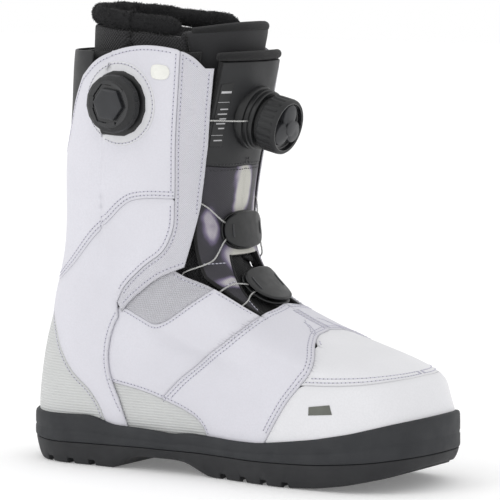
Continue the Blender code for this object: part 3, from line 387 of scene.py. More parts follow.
def resampled(loop, spacing):
    """The loop with even spacing on the surface. Its corners stay."""
    solid = last_point(loop[:, 1], loop[:, 0])
    before, after = solid - np.roll(solid, 1, axis=0), np.roll(solid, -1, axis=0) - solid
    long = np.linalg.norm(after, axis=1)
    keep = long > 1e-3
    loop, solid = loop[keep], solid[keep]
    before, after = solid - np.roll(solid, 1, axis=0), np.roll(solid, -1, axis=0) - solid
    long = np.linalg.norm(after, axis=1)
    cosine = (before * after).sum(1) / (np.linalg.norm(before, axis=1) * long)
    corners = np.nonzero(cosine < 0.87)[0]
    if len(corners) == 0:
        corners = np.array([0])
    out = []
    for a, b in zip(corners, [*corners[1:], corners[0] + len(loop)]):
        which = np.arange(a, b + 1) % len(loop)
        run = np.concatenate([[0], np.cumsum(long[which[:-1]])])
        count = max(1, round(run[-1] / spacing))
        spots = np.linspace(0, run[-1], count, endpoint=False)
        out.append(np.stack([np.interp(spots, run, loop[which, k]) for k in (0, 1)], axis=1))
    return np.vstack(out)


def shifted(line, distance, closed=True):
    """The line moved to its left on the surface by distance."""
    z, phi = line[:, 1], line[:, 0]
    along, up = slopes(z, phi)
    solid = last_point(z, phi)
    if closed:
        tangent = np.roll(solid, -1, axis=0) - np.roll(solid, 1, axis=0)
    else:
        tangent = np.gradient(solid, axis=0)
    tangent /= np.linalg.norm(tangent, axis=1, keepdims=True) + 1e-9
    normal = np.cross(along, up)
    normal /= np.linalg.norm(normal, axis=1, keepdims=True)
    move = np.cross(normal, tangent) * distance
    e, f, g = (along * along).sum(1), (along * up).sum(1), (up * up).sum(1)
    a, b = (along * move).sum(1), (up * move).sum(1)
    area = e * g - f * f
    return line + np.stack([(g * a - f * b) / area, (e * b - f * a) / area], axis=1)


def edge_distance(points, loop):
    """How far each point is from the loop, on the last's surface."""
    p = last_point(points[:, 1], points[:, 0])
    a = last_point(loop[:, 1], loop[:, 0])
    ab = np.roll(a, -1, axis=0) - a
    size = (ab * ab).sum(1) + 1e-12
    out = []
    for chunk in np.array_split(p, max(1, len(p) // 1500)):
        ap = chunk[:, None, :] - a[None]
        t = np.clip((ap * ab).sum(2) / size, 0, 1)
        out.append(np.sqrt(((ap - ab * t[..., None])**2).sum(2)).min(1))
    return np.concatenate(out)


# ---- meshes ---------------------------------------------------------------------------------------
def add(name, points, faces, look, body, replaces=(), uv=None, seam=None, sharp=None):
    """A piece from points in millimetres. It rides on body, unless body is None."""
    mesh = bpy.data.meshes.new(name)
    mesh.from_pydata(metres(points).tolist(), [], [tuple(int(i) for i in f) for f in faces])
    mesh.validate()
    if uv is not None:
        layer = mesh.uv_layers.new(name="UVMap")
        corner = np.zeros(len(mesh.loops), int)
        mesh.loops.foreach_get("vertex_index", corner)
        layer.uv.foreach_set("vector", np.asarray(uv, np.float32)[corner].ravel())
    # A per-point mask for painted shade: 1 at a panel's edge, less further in.
    if seam is not None:
        mesh.attributes.new("seam", "FLOAT", "POINT").data.foreach_set("value", np.asarray(seam, np.float32))
    mesh.shade_smooth()
    if sharp:
        mesh.set_sharp_from_angle(angle=math.radians(sharp))
    piece = bpy.data.objects.new(name, mesh)
    bpy.context.scene.collection.objects.link(piece)
    mesh.materials.append(look)
    if replaces:
        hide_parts(*replaces)
    if body:
        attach(piece, body)
    return piece


ARC_Z = np.linspace(10, 292, 95)
ARC_PHI = np.linspace(0, 2 * PI, 541)
_ring = last_point(ARC_Z[:, None], ARC_PHI[None, :])
_run = np.linalg.norm(np.diff(_ring, axis=1), axis=2)
ARC = np.concatenate([np.zeros((len(ARC_Z), 1)), np.cumsum(_run, axis=1)], axis=1)
ARC -= ARC[:, 270:271]       # from the middle of the heel


def arc(phi, z):
    """The distance round the last from the heel."""
    column = (np.asarray(phi) % (2 * PI)) / (2 * PI) * 540
    row = (np.clip(z, 10, 292) - 10) / 282 * 94
    i, j = np.clip(column.astype(int), 0, 539), np.clip(row.astype(int), 0, 93)
    s, t = column - i, row - j
    return ((ARC[j, i] * (1 - s) + ARC[j, i + 1] * s) * (1 - t)
            + (ARC[j + 1, i] * (1 - s) + ARC[j + 1, i + 1] * s) * t)


ROWS = np.concatenate([np.arange(HEM, 58, 2.6), np.arange(58, 100, 1.5), np.arange(100, 300, 2.8)])
PANELS = []


def value_at(thing, z):
    return thing(z) if callable(thing) else np.full(len(z), float(thing))


def panel(name, loop, top, low, look, slot, replaces=(), body="root", radius=0.8, puff=0.35, spacing=2.0,
          swell=7.0, rough=0.12, back=True, step=2.3, known=True):
    """A panel of the upper: an outline on the last, filled, crowned and rounded at its edge."""
    area = np.sum(loop[:, 0] * np.roll(loop[:, 1], -1) - np.roll(loop[:, 0], -1) * loop[:, 1])
    edge = resampled(loop if area > 0 else loop[::-1], spacing)
    low_corner, high_corner = edge.min(0), edge.max(0)
    columns = np.arange(low_corner[0], high_corner[0], math.radians(step))
    rows = ROWS[(ROWS > low_corner[1]) & (ROWS < high_corner[1])]
    grid = np.array([(c + (math.radians(step) / 2 if k % 2 else 0), r) for k,
                     r in enumerate(rows) for c in columns])
    cloud = [edge]
    for distance in (0.3 * radius, 0.7 * radius, 1.25 * radius, 2.4 * radius):
        ring = shifted(edge, distance)
        ring = ring[inside(ring, edge)]
        cloud.append(ring[edge_distance(ring, edge) > 0.75 * distance])
    if len(grid):
        grid = grid[inside(grid, edge)]
    if len(grid):
        cloud.append(grid[edge_distance(grid, edge) > 3.2 * radius])
    spots = [Vector(p * SCALE) for p in np.vstack(cloud)]
    found = geometry.delaunay_2d_cdt(spots, [], [list(range(len(edge)))], 1, 1e-5)
    flat = np.array([tuple(v) for v in found[0]]) / SCALE
    faces = np.array([f for f in found[2] if len(f) == 3])
    away = edge_distance(flat, edge)
    z = flat[:, 1]
    share = np.clip(away / radius, 0, 1)
    tops, lows = value_at(top, z), value_at(low, z)
    lift = tops - radius * 0.8 * (1 - np.sqrt(1 - (1 - share)**2))
    lift += puff * (1 - np.exp(-away / swell))
    solid = last_point(z, flat[:, 0])
    if rough:
        lift += rough * np.array([noise.noise(Vector(p / 21.0)) for p in solid]) * (1 - np.exp(-away / 6))
    front = skin(z, flat[:, 0], np.maximum(lift, lows + 0.1))
    uv = np.stack([arc(flat[:, 0], z) / 100, z / 100], axis=1)
    # The mask for painted shade at the panel's edges and seams: 1 at the edge, fading over about 1.6 mm
    # inwards.
    seam = np.exp(-away / 1.6)
    points, all_faces = front, faces.tolist()
    if back:
        count = len(front)
        points = np.vstack([front, skin(z, flat[:, 0], lows)])
        all_faces += [(a + count, c + count, b + count) for a, b, c in faces]
        directed = {(f[i], f[(i + 1) % 3]) for f in faces.tolist() for i in range(3)}
        all_faces += [(b, a, a + count, b + count) for a, b in directed if (b, a) not in directed]
        uv, seam = np.vstack([uv, uv]), np.concatenate([seam, seam])
    if known:
        PANELS.append({"name": name, "edge": edge, "top": top, "puff": puff, "swell": swell})
    return add(name, points, all_faces, look, body, replaces, uv, seam)


def height_at(line, names=None):
    """How high the topmost panel stands at each point of a line, or nan."""
    best = np.full(len(line), np.nan)
    for item in PANELS:
        if names and not any(item["name"].startswith(n) for n in names):
            continue
        for turn in (-2 * PI, 0, 2 * PI):
            moved = line + (turn, 0)
            found = inside(moved, item["edge"])
            if found.any():
                away = edge_distance(moved[found], item["edge"])
                crown = item["puff"] * (1 - np.exp(-away / item["swell"]))
                top = value_at(item["top"], line[found][:, 1]) + crown
                top[away < 0.9] = np.nan
                best[found] = np.fmax(best[found], top)
    return best


def even(line, spacing):
    """An open line in (phi, z), with even spacing on the surface."""
    solid = last_point(line[:, 1], line[:, 0])
    run = np.concatenate([[0], np.cumsum(np.linalg.norm(np.diff(solid, axis=0), axis=1))])
    spots = np.linspace(0, run[-1], max(2, int(run[-1] / spacing) + 1))
    return np.stack([np.interp(spots, run, line[:, k]) for k in (0, 1)], axis=1)


def stitch_rows(name, rows, look, hole_shade_look, body, names=None, pitch=2.55, thick=0.3, hole=0.38):
    """Stitches along lines in (phi, z), each moved to its left by a distance, with a dark disc of painted shade
    in each needle hole.
    """
    points, faces, hole_shade_points, hole_shade_faces = [], [], [], []
    for line, distance in rows:
        path = even(shifted(even(line, 1.5), distance, closed=False), pitch)
        high = height_at(path, names)
        base, over = skin(path[:, 1], path[:, 0], high), skin(path[:, 1], path[:, 0], high + 1)
        for k in range(len(path)):
            if np.isnan(high[k]):
                continue
            up = over[k] - base[k]
            along = base[min(k + 1, len(path) - 1)] - base[max(k - 1, 0)]
            if np.isnan(along).any():
                continue
            along /= np.linalg.norm(along) + 1e-9
            aside = np.cross(up, along)
            # A dark disc at each stitch station: painted shade where the needle hole would be.
            start = len(hole_shade_points)
            hole_shade_points.append(base[k] + up * 0.07)
            hole_shade_points += [base[k] + up * 0.05 + hole * (along * math.cos(t) * 1.15 + aside * math.sin(t))
                            for t in np.linspace(0, 2 * PI, 8, endpoint=False)]
            hole_shade_faces += [(start, start + 1 + i, start + 1 + (i + 1) % 8) for i in range(8)]
            if k + 1 >= len(path) or np.isnan(high[k + 1]):
                continue
            a, b = base[k] + along * 0.35, base[k + 1] - along * 0.35
            if np.linalg.norm(b - a) > 2 * pitch:
                continue
            start = len(points)
            points += [a - up * 0.12, b - up * 0.12]
            for share in (0.18, 0.5, 0.82):
                middle = a + (b - a) * share
                rise = 0.16 if share == 0.5 else 0.08
                points += [middle + up * (rise + thick * 0.8 * math.sin(t)) + aside * thick * math.cos(t)
                           for t in np.linspace(0, 2 * PI, 6, endpoint=False)]
            for i in range(6):
                j = (i + 1) % 6
                faces.append((start, start + 2 + j, start + 2 + i))
                faces.append((start + 2 + i, start + 2 + j, start + 8 + j, start + 8 + i))
                faces.append((start + 8 + i, start + 8 + j, start + 14 + j, start + 14 + i))
                faces.append((start + 1, start + 14 + i, start + 14 + j))
    add(name, points, faces, look, body)
    # The discs of painted shade for the needle holes.
    if hole_shade_look:
        add(name + "_hole_shades", hole_shade_points, hole_shade_faces, hole_shade_look, body)


def revolved(name, where, rings, look, body, replaces=(), around=120, sharp=32):
    """A body round a place's own Z. A ring is (radius, height), and either may depend on the angle."""
    turn = np.linspace(0, 2 * PI, around, endpoint=False)
    points, faces, starts = [], [], []
    for radius, height in rings:
        r = radius(turn) if callable(radius) else np.full(around, float(radius))
        h = height(turn) if callable(height) else np.full(around, float(height))
        starts.append(len(points))
        if np.max(r) < 1e-6:
            points.append((0, 0, float(h[0])))
        else:
            points += list(zip(r * np.cos(turn), r * np.sin(turn), h))
    sizes = np.diff([*starts, len(points)])
    for (a, size_a), (b, size_b) in zip(zip(starts, sizes), list(zip(starts, sizes))[1:]):
        for i in range(around):
            j = (i + 1) % around
            if size_a == 1:
                faces.append((a, b + j, b + i))
            elif size_b == 1:
                faces.append((a + i, a + j, b))
            else:
                faces.append((a + i, a + j, b + j, b + i))
    local = np.array(points)
    matrix = np.array(where)
    solid = local @ matrix[:3, :3].T + matrix[:3, 3]
    uv = np.stack([np.arctan2(local[:, 1], local[:, 0]) / (2 * PI), local[:, 2] / 10], axis=1)
    return add(name, solid, faces, look, body, replaces, uv, sharp=sharp)


def tube(name, path, radius, look, body, replaces=(), sides=10, lobes=0, pitch=3.6):
    """A tube along a path, or a twisted cord if it has lobes."""
    path = np.asarray(path, float)
    count = len(path)
    points, faces, uv = [], [], []
    side, run = np.array((0.31, 0.2, 0.93)), 0.0
    for k, here in enumerate(path):
        ahead, behind = path[min(k + 1, count - 1)], path[max(k - 1, 0)]
        along = (ahead - behind) / (np.linalg.norm(ahead - behind) + 1e-9)
        side = side - along * side.dot(along)
        side /= np.linalg.norm(side)
        other = np.cross(along, side)
        run += np.linalg.norm(here - path[k - 1]) if k else 0.0
        size = radius(k / (count - 1)) if callable(radius) else radius
        for t in np.linspace(0, 2 * PI, sides, endpoint=False):
            r = size * (1 + (0.17 * math.cos(lobes * (t - 2 * PI * run / pitch)) - 0.1 if lobes else 0))
            points.append(here + side * math.cos(t) * r + other * math.sin(t) * r)
            uv.append((run / 100, t / (2 * PI)))
    for k in range(count - 1):
        a, b = k * sides, (k + 1) * sides
        faces += [(a + i, a + (i + 1) % sides, b + (i + 1) % sides, b + i) for i in range(sides)]
    faces += [tuple(range(sides - 1, -1, -1)), tuple(range((count - 1) * sides, count * sides))]
    return add(name, points, faces, look, body, replaces, uv)


# ---- materials ------------------------------------------------------------------------------------
class Look:
    """A material whose colour, roughness and bump come from procedural patterns."""

    def __init__(self, name, roughness, **sockets):
        self.made = bpy.data.materials.new(name)
        self.made.use_nodes = True
        self.tree = self.made.node_tree
        self.shader = self.tree.nodes["Principled BSDF"]
        self.shader.inputs["Roughness"].default_value = roughness
        for socket, value in sockets.items():
            self.shader.inputs[socket.replace("_", " ")].default_value = value

    def node(self, kind, output=0, settings=(), **inputs):
        made = self.tree.nodes.new("ShaderNode" + kind)
        for key, value in dict(settings).items():
            setattr(made, key, value)
        for key, value in inputs.items():
            spot = int(key[1:]) if key[0] == "i" and key[1:].isdigit() else key.replace("_", " ")
            if isinstance(value, bpy.types.NodeSocket):
                self.tree.links.new(value, made.inputs[spot])
            else:
                made.inputs[spot].default_value = value
        return made.outputs[output]

    def place(self, uv=False):
        return self.node("TexCoord", "UV" if uv else "Object")

    def noise(self, scale, detail=3.0, where=None, distortion=0.0):
        where = where or self.place()
        return self.node("TexNoise", 0, Vector=where, Scale=scale, Detail=detail, Distortion=distortion)

    def cells(self, scale):
        return self.node("TexVoronoi", 0, {"feature": "SMOOTH_F1"}, Vector=self.place(), Scale=scale)

    def math(self, operation, a, b=0.0, c=0.0):
        return self.node("Math", 0, {"operation": operation}, i0=a, i1=b, i2=c)

    def span(self, value, low, high, to_low=0.0, to_high=1.0):
        return self.node("MapRange", 0, i0=value, i1=low, i2=high, i3=to_low, i4=to_high)

    def mix(self, share, a, b):
        return self.node("Mix", 2, {"data_type": "RGBA"}, i0=share, i6=a, i7=b)

    def ramp(self, share, stops):
        out = self.node("ValToRGB", 0, i0=share)
        ramp = out.node.color_ramp
        while len(ramp.elements) < len(stops):
            ramp.elements.new(0.5)
        for element, (spot, colour) in zip(ramp.elements, stops):
            element.position, element.color = spot, (*colour, 1)
        return out

    def waves(self, pitch_u, pitch_v, uv=True):
        """Two waves of a pattern along and up a piece, each from -1 to 1."""
        split = self.tree.nodes.new("ShaderNodeSeparateXYZ")
        self.tree.links.new(self.place(uv), split.inputs[0])
        unit = 100.0 if uv else 1000.0
        return [self.math("SINE", self.math("MULTIPLY", split.outputs[k], 2 * PI * unit / pitch))
                for k, pitch in ((0, pitch_u), (1, pitch_v))]

    # The per-point mask for painted shade at the panels' edges.
    def seam(self):
        return self.node("Attribute", 2, {"attribute_name": "seam"})

    def use(self, colour=None, roughness=None, height=None, strength=0.3, distance=0.0003):
        link = self.tree.links.new
        if colour is not None:
            link(colour, self.shader.inputs["Base Color"])
        if roughness is not None:
            link(roughness, self.shader.inputs["Roughness"])
        if height is not None:
            bump = self.node("Bump", 0, Height=height, Strength=strength, Distance=distance)
            link(bump, self.shader.inputs["Normal"])
        return self.made


def rgb(*values):
    return (*values, 1.0)


def scaled(colour, by):
    return rgb(*(c * by for c in colour))


def leather(name, colour, roughness, grain=1500, strength=0.3, worn=0.12, coat=0.0, edge=0.82):
    look = Look(name, roughness, Coat_Weight=coat, Coat_Roughness=0.35)
    tone = look.mix(look.span(look.noise(16, 4), 0.35, 0.65), scaled(colour, 1 - worn / 2),
                    scaled(colour, 1.0))
    speck = look.mix(look.span(look.noise(900, 2), 0.42, 0.6, 0, 0.35), tone, scaled(colour, 0.9))
    # Painted shade: towards the panels' edges and seams the colour darkens to edge times itself.
    edge_shaded = look.mix(look.math("MULTIPLY", look.seam(), 0.75), speck, scaled(colour, edge))
    grainy = look.math("ADD", look.cells(grain), look.math("MULTIPLY", look.noise(grain * 2.2, 2), 0.7))
    creased = look.math("MULTIPLY", look.noise(55, 3, distortion=0.6), 1.6)
    rough = look.span(look.noise(60, 4), 0.3, 0.7, roughness - 0.06, roughness + 0.08)
    return look.use(edge_shaded, rough, look.math("ADD", grainy, creased), strength)


def woven(name, colour, pitch_u, pitch_v, low=0.72, roughness=0.75, strength=0.5, kind="dots", sheen=0.2,
          edge=0.85):
    look = Look(name, roughness, Sheen_Weight=sheen, Sheen_Roughness=0.5)
    a, b = look.waves(pitch_u, pitch_v)
    if kind == "dots":
        height = look.math("MULTIPLY", a, b)
    elif kind == "grid":
        height = look.math("MINIMUM", look.math("ABSOLUTE", a), look.math("ABSOLUTE", b))
        height = look.span(height, 0.0, 0.75, 1.0, -1.0)
    else:
        height = look.math("ADD", look.math("MULTIPLY", a, 0.35), look.math("MULTIPLY", b, 0.65))
    fuzz = look.noise(2600, 2)
    # Painted shade in the weave's hollows: where the bump is low, the colour falls to about low times itself.
    hollow_shade = look.span(height, -1.0, 0.6)
    tone = look.mix(look.span(look.noise(22, 3), 0.3, 0.7), scaled(colour, 0.93), scaled(colour, 1.0))
    dark = look.mix(look.span(look.noise(22, 3), 0.3, 0.7), scaled(colour, low * 0.93), scaled(colour, low))
    # Painted shade: towards the panels' edges and seams the colour darkens to edge times itself, on top of the
    # shade in the hollows.
    mixed = look.mix(look.math("MULTIPLY", look.seam(), 0.7), look.mix(hollow_shade, dark, tone),
                     scaled(colour, edge))
    rough = look.span(fuzz, 0.3, 0.7, roughness - 0.08, roughness + 0.08)
    return look.use(mixed, rough, look.math("ADD", height, look.math("MULTIPLY", fuzz, 0.6)), strength,
                    0.0004)


def rubber(name, colour, roughness, strength=0.25, scale=1100):
    look = Look(name, roughness)
    dusty = look.mix(look.span(look.noise(30, 5), 0.4, 0.75, 0, 0.5), scaled(colour, 1.0),
                     scaled(colour, 1.25))
    pebble = look.math("ADD", look.noise(scale, 3), look.math("MULTIPLY", look.noise(140, 3), 0.6))
    rough = look.span(look.noise(90, 4), 0.3, 0.7, roughness - 0.07, roughness + 0.08)
    return look.use(dusty, rough, pebble, strength)


def plastic(name, colour, roughness, strength=0.08, coat=0.0, scuff=0.1):
    look = Look(name, roughness, Coat_Weight=coat, Coat_Roughness=0.2)
    tone = look.mix(look.span(look.noise(45, 4), 0.4, 0.7), scaled(colour, 1.0), scaled(colour, 1.3))
    rough = look.span(look.noise(170, 5, distortion=0.4), 0.35, 0.7, roughness - 0.05, roughness + scuff)
    return look.use(tone, rough, look.noise(1500, 2), strength, 0.0002)


def steel(name, colour, roughness):
    look = Look(name, roughness, Metallic=1.0)
    tone = look.mix(look.noise(500, 2), scaled(colour, 0.75), scaled(colour, 1.0))
    return look.use(tone, look.span(look.noise(900, 2), 0.3, 0.7, roughness - 0.08, roughness + 0.12),
                    look.noise(1700, 2), 0.15, 0.0002)


def cord_look(name, light, dark, lobes, pitch):
    """Strands that wind round a cord, in their own colour on their crowns, with painted shade in the dark
    colour between them.
    """
    look = Look(name, 0.42, Metallic=0.35)
    split = look.tree.nodes.new("ShaderNodeSeparateXYZ")
    look.tree.links.new(look.place(True), split.inputs[0])
    turn = look.math("MULTIPLY", split.outputs[1], 2 * PI * lobes)
    run = look.math("MULTIPLY", split.outputs[0], 2 * PI * lobes * 100 / pitch)
    wave = look.math("COSINE", look.math("SUBTRACT", turn, run))
    # Painted shade: the colour falls to dark in the grooves between the strands.
    tone = look.mix(look.span(look.math("ADD", wave, look.noise(700, 2)), -0.4, 0.9), rgb(*dark), rgb(*light))
    return look.use(tone, None, wave, 0.4, 0.0002)


def printed(name):
    """A dip-dyed cloth: blurred cream and violet clouds on black."""
    look = Look(name, 0.55, Sheen_Weight=0.15, Sheen_Roughness=0.5)
    warp = look.node("TexNoise", 1, Vector=look.place(), Scale=38.0, Detail=2.0)
    moved = look.node("VectorMath", 0, {"operation": "MULTIPLY_ADD"}, i0=warp, i1=(0.016,) * 3,
                      i2=look.place())
    clouds = None
    for y, z, wide, high, full in ((-1, 173, 9, 22, 1.15), (1, 130, 20, 13, 1.3), (-24, 152, 6, 14, 0.62),
                                   (-9, 103, 8, 5, 0.8), (-14, 93, 10, 5, 0.9), (19, 160, 6, 13, 0.7),
                                   (15, 104, 7, 7, 0.8), (22, 176, 5, 8, 0.5), (-20, 118, 9, 5, 0.75)):
        centre = ((y - ORIGIN[1]) * 0.001 + 0.008, z * 0.001 + 0.008)
        away = look.node("VectorMath", 0, {"operation": "SUBTRACT"}, i0=moved, i1=(0, *centre))
        away = look.node("VectorMath", 0, {"operation": "MULTIPLY"}, i0=away,
                         i1=(0, 1000 / wide, 1000 / high))
        away = look.node("VectorMath", 1, {"operation": "LENGTH"}, i0=away)
        cloud = look.span(away, 0.55, 1.25, full, 0.0)
        clouds = cloud if clouds is None else look.math("MAXIMUM", clouds, cloud)
    clouds = look.math("ADD", clouds, look.span(look.noise(120, 3), 0.3, 0.7, -0.08, 0.08))
    dyed = look.ramp(clouds, [(0.0, (0.022, 0.020, 0.027)), (0.22, (0.030, 0.026, 0.040)),
                              (0.45, (0.16, 0.13, 0.22)), (0.68, (0.45, 0.42, 0.47)),
                              (0.95, (0.66, 0.65, 0.59))])
    a, b = look.waves(1.3, 1.3)
    weave = look.math("MULTIPLY", a, b)
    tone = look.mix(look.span(weave, -1, 1, 0.0, 0.28), dyed, rgb(0.02, 0.02, 0.03))
    return look.use(tone, None, look.math("ADD", weave, look.noise(1800, 2)), 0.35)


WHITE = (0.70, 0.695, 0.75)
LOOKS = {
    "cuff": leather("cuff_white_synthetic", WHITE, 0.52, 1500, 0.22),
    "smooth": leather("smooth_white_synthetic", (0.76, 0.76, 0.785), 0.40, 2300, 0.10, coat=0.12),
    "band": woven("band_textile_white", (0.70, 0.695, 0.75), 1.25, 1.25, 0.80, 0.62, 0.55),
    "counter": woven("counter_grey_textile", (0.66, 0.67, 0.665), 1.0, 1.7, 0.85, 0.75, 0.5, "ribs"),
    "mesh": woven("quarter_mesh_white", (0.74, 0.735, 0.79), 2.5, 2.5, 0.62, 0.7, 0.7, "grid"),
    "black_fabric": woven("black_fabric", (0.009, 0.009, 0.010), 1.5, 1.5, 0.6, 0.92, 0.5, sheen=0.08,
                          edge=0.8),
    "liner_mesh": woven("liner_mesh_black", (0.026, 0.026, 0.028), 2.4, 2.4, 0.25, 0.85, 0.9, "dots", 0.08),
    "lycra": woven("liner_smooth_cloth", (0.016, 0.016, 0.018), 0.9, 0.9, 0.8, 0.8, 0.2, "dots", 0.1, 0.9),
    "black_leather": leather("tongue_black_leather", (0.009, 0.0095, 0.011), 0.5, 1900, 0.18, edge=0.7),
    "print": printed("tongue_printed_textile"),
    "sole": rubber("outsole_rubber", (0.012, 0.0125, 0.0145), 0.62),
    "midsole": rubber("cup_sole_rubber", (0.017, 0.0185, 0.0215), 0.66, 0.2),
    "board": woven("board_fibre", (0.30, 0.27, 0.22), 3.0, 3.0, 0.8, 0.85, 0.3),
    "footbed": woven("footbed_cloth", (0.20, 0.20, 0.21), 1.8, 1.8, 0.75, 0.85, 0.5),
    "fur": leather("collar_backing", (0.008, 0.008, 0.009), 0.95, 700, 0.6),
    "strand": plastic("collar_fur", (0.014, 0.014, 0.015), 0.8),
    "plastic": plastic("dial_black_plastic", (0.007, 0.0075, 0.008), 0.4),
    "gloss": plastic("dial_polished_plastic", (0.014, 0.0145, 0.016), 0.24, 0.04, 0.3),
    "cap": plastic("dial_cap_plastic", (0.020, 0.021, 0.024), 0.42),
    "grip": rubber("dial_grip_rubber", (0.010, 0.0105, 0.0115), 0.55, 0.15),
    "steel": steel("screw_steel", (0.55, 0.55, 0.56), 0.3),
    "lace": cord_look("lace_steel_cable", (0.72, 0.72, 0.70), (0.10, 0.10, 0.10), 3, 3.4),
    "thread": cord_look("white_thread", (0.62, 0.61, 0.70), (0.30, 0.30, 0.40), 2, 1.2),
    # Dark discs of painted shade for the needle holes.
    "hole": rubber("needle_hole_shade", (0.20, 0.20, 0.25), 0.8),
    "black_thread": cord_look("black_thread", (0.05, 0.05, 0.055), (0.012, 0.012, 0.014), 2, 1.2),
    "mark": plastic("printed_grey_mark", (0.11, 0.115, 0.10), 0.5),
    "badge": plastic("badge_white", (0.70, 0.70, 0.66), 0.3, 0.05, 0.4),
    "ink": plastic("label_print", (0.42, 0.42, 0.43), 0.6),
}


# ---- places on the boot ---------------------------------------------------------------------------
def surface_place(z, phi, offset=0.0):
    """A place on the last whose own Z points straight out, and whose own Y points up."""
    foot = Vector(skin(z, phi, offset))
    out = (Vector(skin(z, phi, offset + 1)) - foot).normalized()
    x = Vector((0, 0, 1)).cross(out).normalized()
    return Matrix.Translation(foot) @ Matrix((x, out.cross(x), out)).transposed().to_4x4()


def side_phi(x, z):
    return float(from_side([(x, z)], -1, closed=False)[0][0])


SIDE_PLACE = surface_place(SIDE_DIAL[0], side_phi(SIDE_DIAL[1], SIDE_DIAL[0]))
FRONT_PLACE = surface_place(TONGUE_DIAL[0], front_angle(*TONGUE_DIAL))

# ---- the upper ------------------------------------------------------------------------------------
cuff_top, lower = curve(CUFF_TOP), curve(CUFF_LOWER)
band, ankle, spine = curve(BAND_SEAM), part(curve(ANKLE_SEAM), high_x=121.5), curve(SPINE_EDGE)
arch, quarter, mesh_seam = curve(ARCH_SEAM), curve(QUARTER_SEAM), curve(MESH_SEAM)
quarter_edge, rand, counter = curve(QUARTER_FRONT), curve(RAND_SEAM), curve(COUNTER_EDGE)
hidden = lower - (9, 0)
THROAT_HEIGHTS = (*np.arange(91, 140, 2.5), *np.arange(140, 282, 6))
throat_edge = throat_line(0.0, 99, THROAT_HEIGHTS)
cuff_gap = np.interp(THROAT_HEIGHTS, (112, 124, 130, 140, 146, 200, 223, 275),
                     (0, 0, 3, 6, 4.2, 4.2, 4.8, 5.5))
cuff_edge = np.array([throat_point(z, throat_half(z) - gap)[1] for z, gap in zip(THROAT_HEIGHTS, cuff_gap)])
throat_loop = np.vstack([(-0.15, throat_edge[0][1] - 3), (throat_edge[0][0], throat_edge[0][1] - 3),
                         throat_edge,
                         (throat_edge[-1][0], 300), (-0.15, 300)])
cuff_loop = np.vstack([(-0.15, cuff_edge[0][1] - 3), (cuff_edge[0][0], cuff_edge[0][1] - 3), cuff_edge,
                       (cuff_edge[-1][0], 300), (-0.15, 300)])
counter_outline = [*counter, (73, 0), (-60, 0), (-60, 102)]
window = from_side(counter_outline)
window[window[:, 0] > PI - 1e-3, 0] = PI + 0.1
OUTLINES = {
    "cuff_band": clipped(from_side([(160, 247), (150, 247), *lower[(lower[:, 1] > 96)][:1],
                                    *part(lower, low_x=81, low_z=96), *part(band, high_z=257.6)[::-1],
                                    *part(cuff_top, low_x=130.5)[::-1]]), cuff_loop),
    "cuff_upper": from_side([*part(cuff_top, high_x=129), *spine[1:], (-20, 186), (-20, 110), *ankle[::-1],
                             *part(band, low_z=168.2, high_z=258)[::-1]]),
    "cuff_ankle": clipped(from_side([*ankle, (-20, 110), (-20, 0), (96, 0), *part(lower, high_x=80)[::-1],
                                     *part(band, high_z=167.8)[::-1]]), window),
    "arch_insert": from_side([*part(hidden, high_z=53)[::-1], *arch[1:], (144, 0), (84, 0)]),
    "quarter_rear": clipped(from_side([*part(hidden, low_z=53, high_z=99)[::-1], *mesh_seam[1:], (160, 124),
                                       (184, 118), *quarter, *part(arch, high_x=110.5)[::-1]]), throat_loop),
    "quarter_mesh": clipped(from_side([(70, 101.5), *mesh_seam[1:], (152, 134), (96, 134)]), throat_loop),
    "quarter_front": clipped(from_side([*quarter[::-1], (190, 120), *quarter_edge, (184, 0), (144.2, 0),
                                        *part(arch, low_x=111)[::-1]]), throat_loop)}
# name: look, slot, top, low, crown, edge radius
UPPER = {"cuff_band": ("band", "band_textile", 1.45, 0.6, 0.15, 0.6),
         "cuff_upper": ("cuff", "white_leather", 2.0, 0.7, 0.3, 0.6),
         "cuff_ankle": ("cuff", "white_leather", 2.0, 0.7, 0.3, 0.6),
         "arch_insert": ("counter", "grey_textile", -0.25, -1.2, 0.2, 0.5),
         "quarter_rear": ("cuff", "white_leather", 0.1, -1.1, 0.4, 0.6),
         "quarter_mesh": ("mesh", "white_mesh", -0.4, -1.2, 0.25, 0.5),
         "quarter_front": ("cuff", "white_leather", 0.2, -1.1, 0.4, 0.6)}
for name, (look, slot, top, low, crown, radius) in UPPER.items():
    for word, side in SIDES:
        node = f"{name}_{word}"
        panel("skin_" + node, OUTLINES[name] * (side, 1), top, low, LOOKS[look], slot, [node], radius=radius,
              puff=crown)
panel("skin_heel_counter", across(from_side(counter_outline), PI), 1.5, 0.6, LOOKS["counter"], "grey_textile",
      ["heel_counter"], radius=0.6, puff=0.2)
panel("skin_spine_panel", across(from_side([(66, 256), *(spine + (6, 0)), (30, 176), (-60, 176),
                                            (-60, 256)]), PI),
      0.1, -1.0, LOOKS["black_leather"], "black_leather", ["spine_panel"], puff=0.8)
panel("skin_toe_cap", across(from_side([*rand[1:], (320, 71), (320, 0), (184, 0),
                                        *part(quarter_edge, high_z=61.5)[::-1]])), 0.0, -1.1, LOOKS["smooth"],
      "white_leather", ["toe_cap"], puff=0.35, radius=0.6)
vamp = across(from_side([*part(quarter_edge, low_z=62.5)[::-1], (199.5, 120), (320, 120), (320, 71),
                         *rand[::-1]]))
for side in (-1, 1):
    vamp = clipped(vamp, from_top(TAB_NOTCH, side))
panel("skin_vamp", vamp, -0.2, -1.1, LOOKS["smooth"], "white_leather", ["vamp"], puff=0.4, radius=0.6)

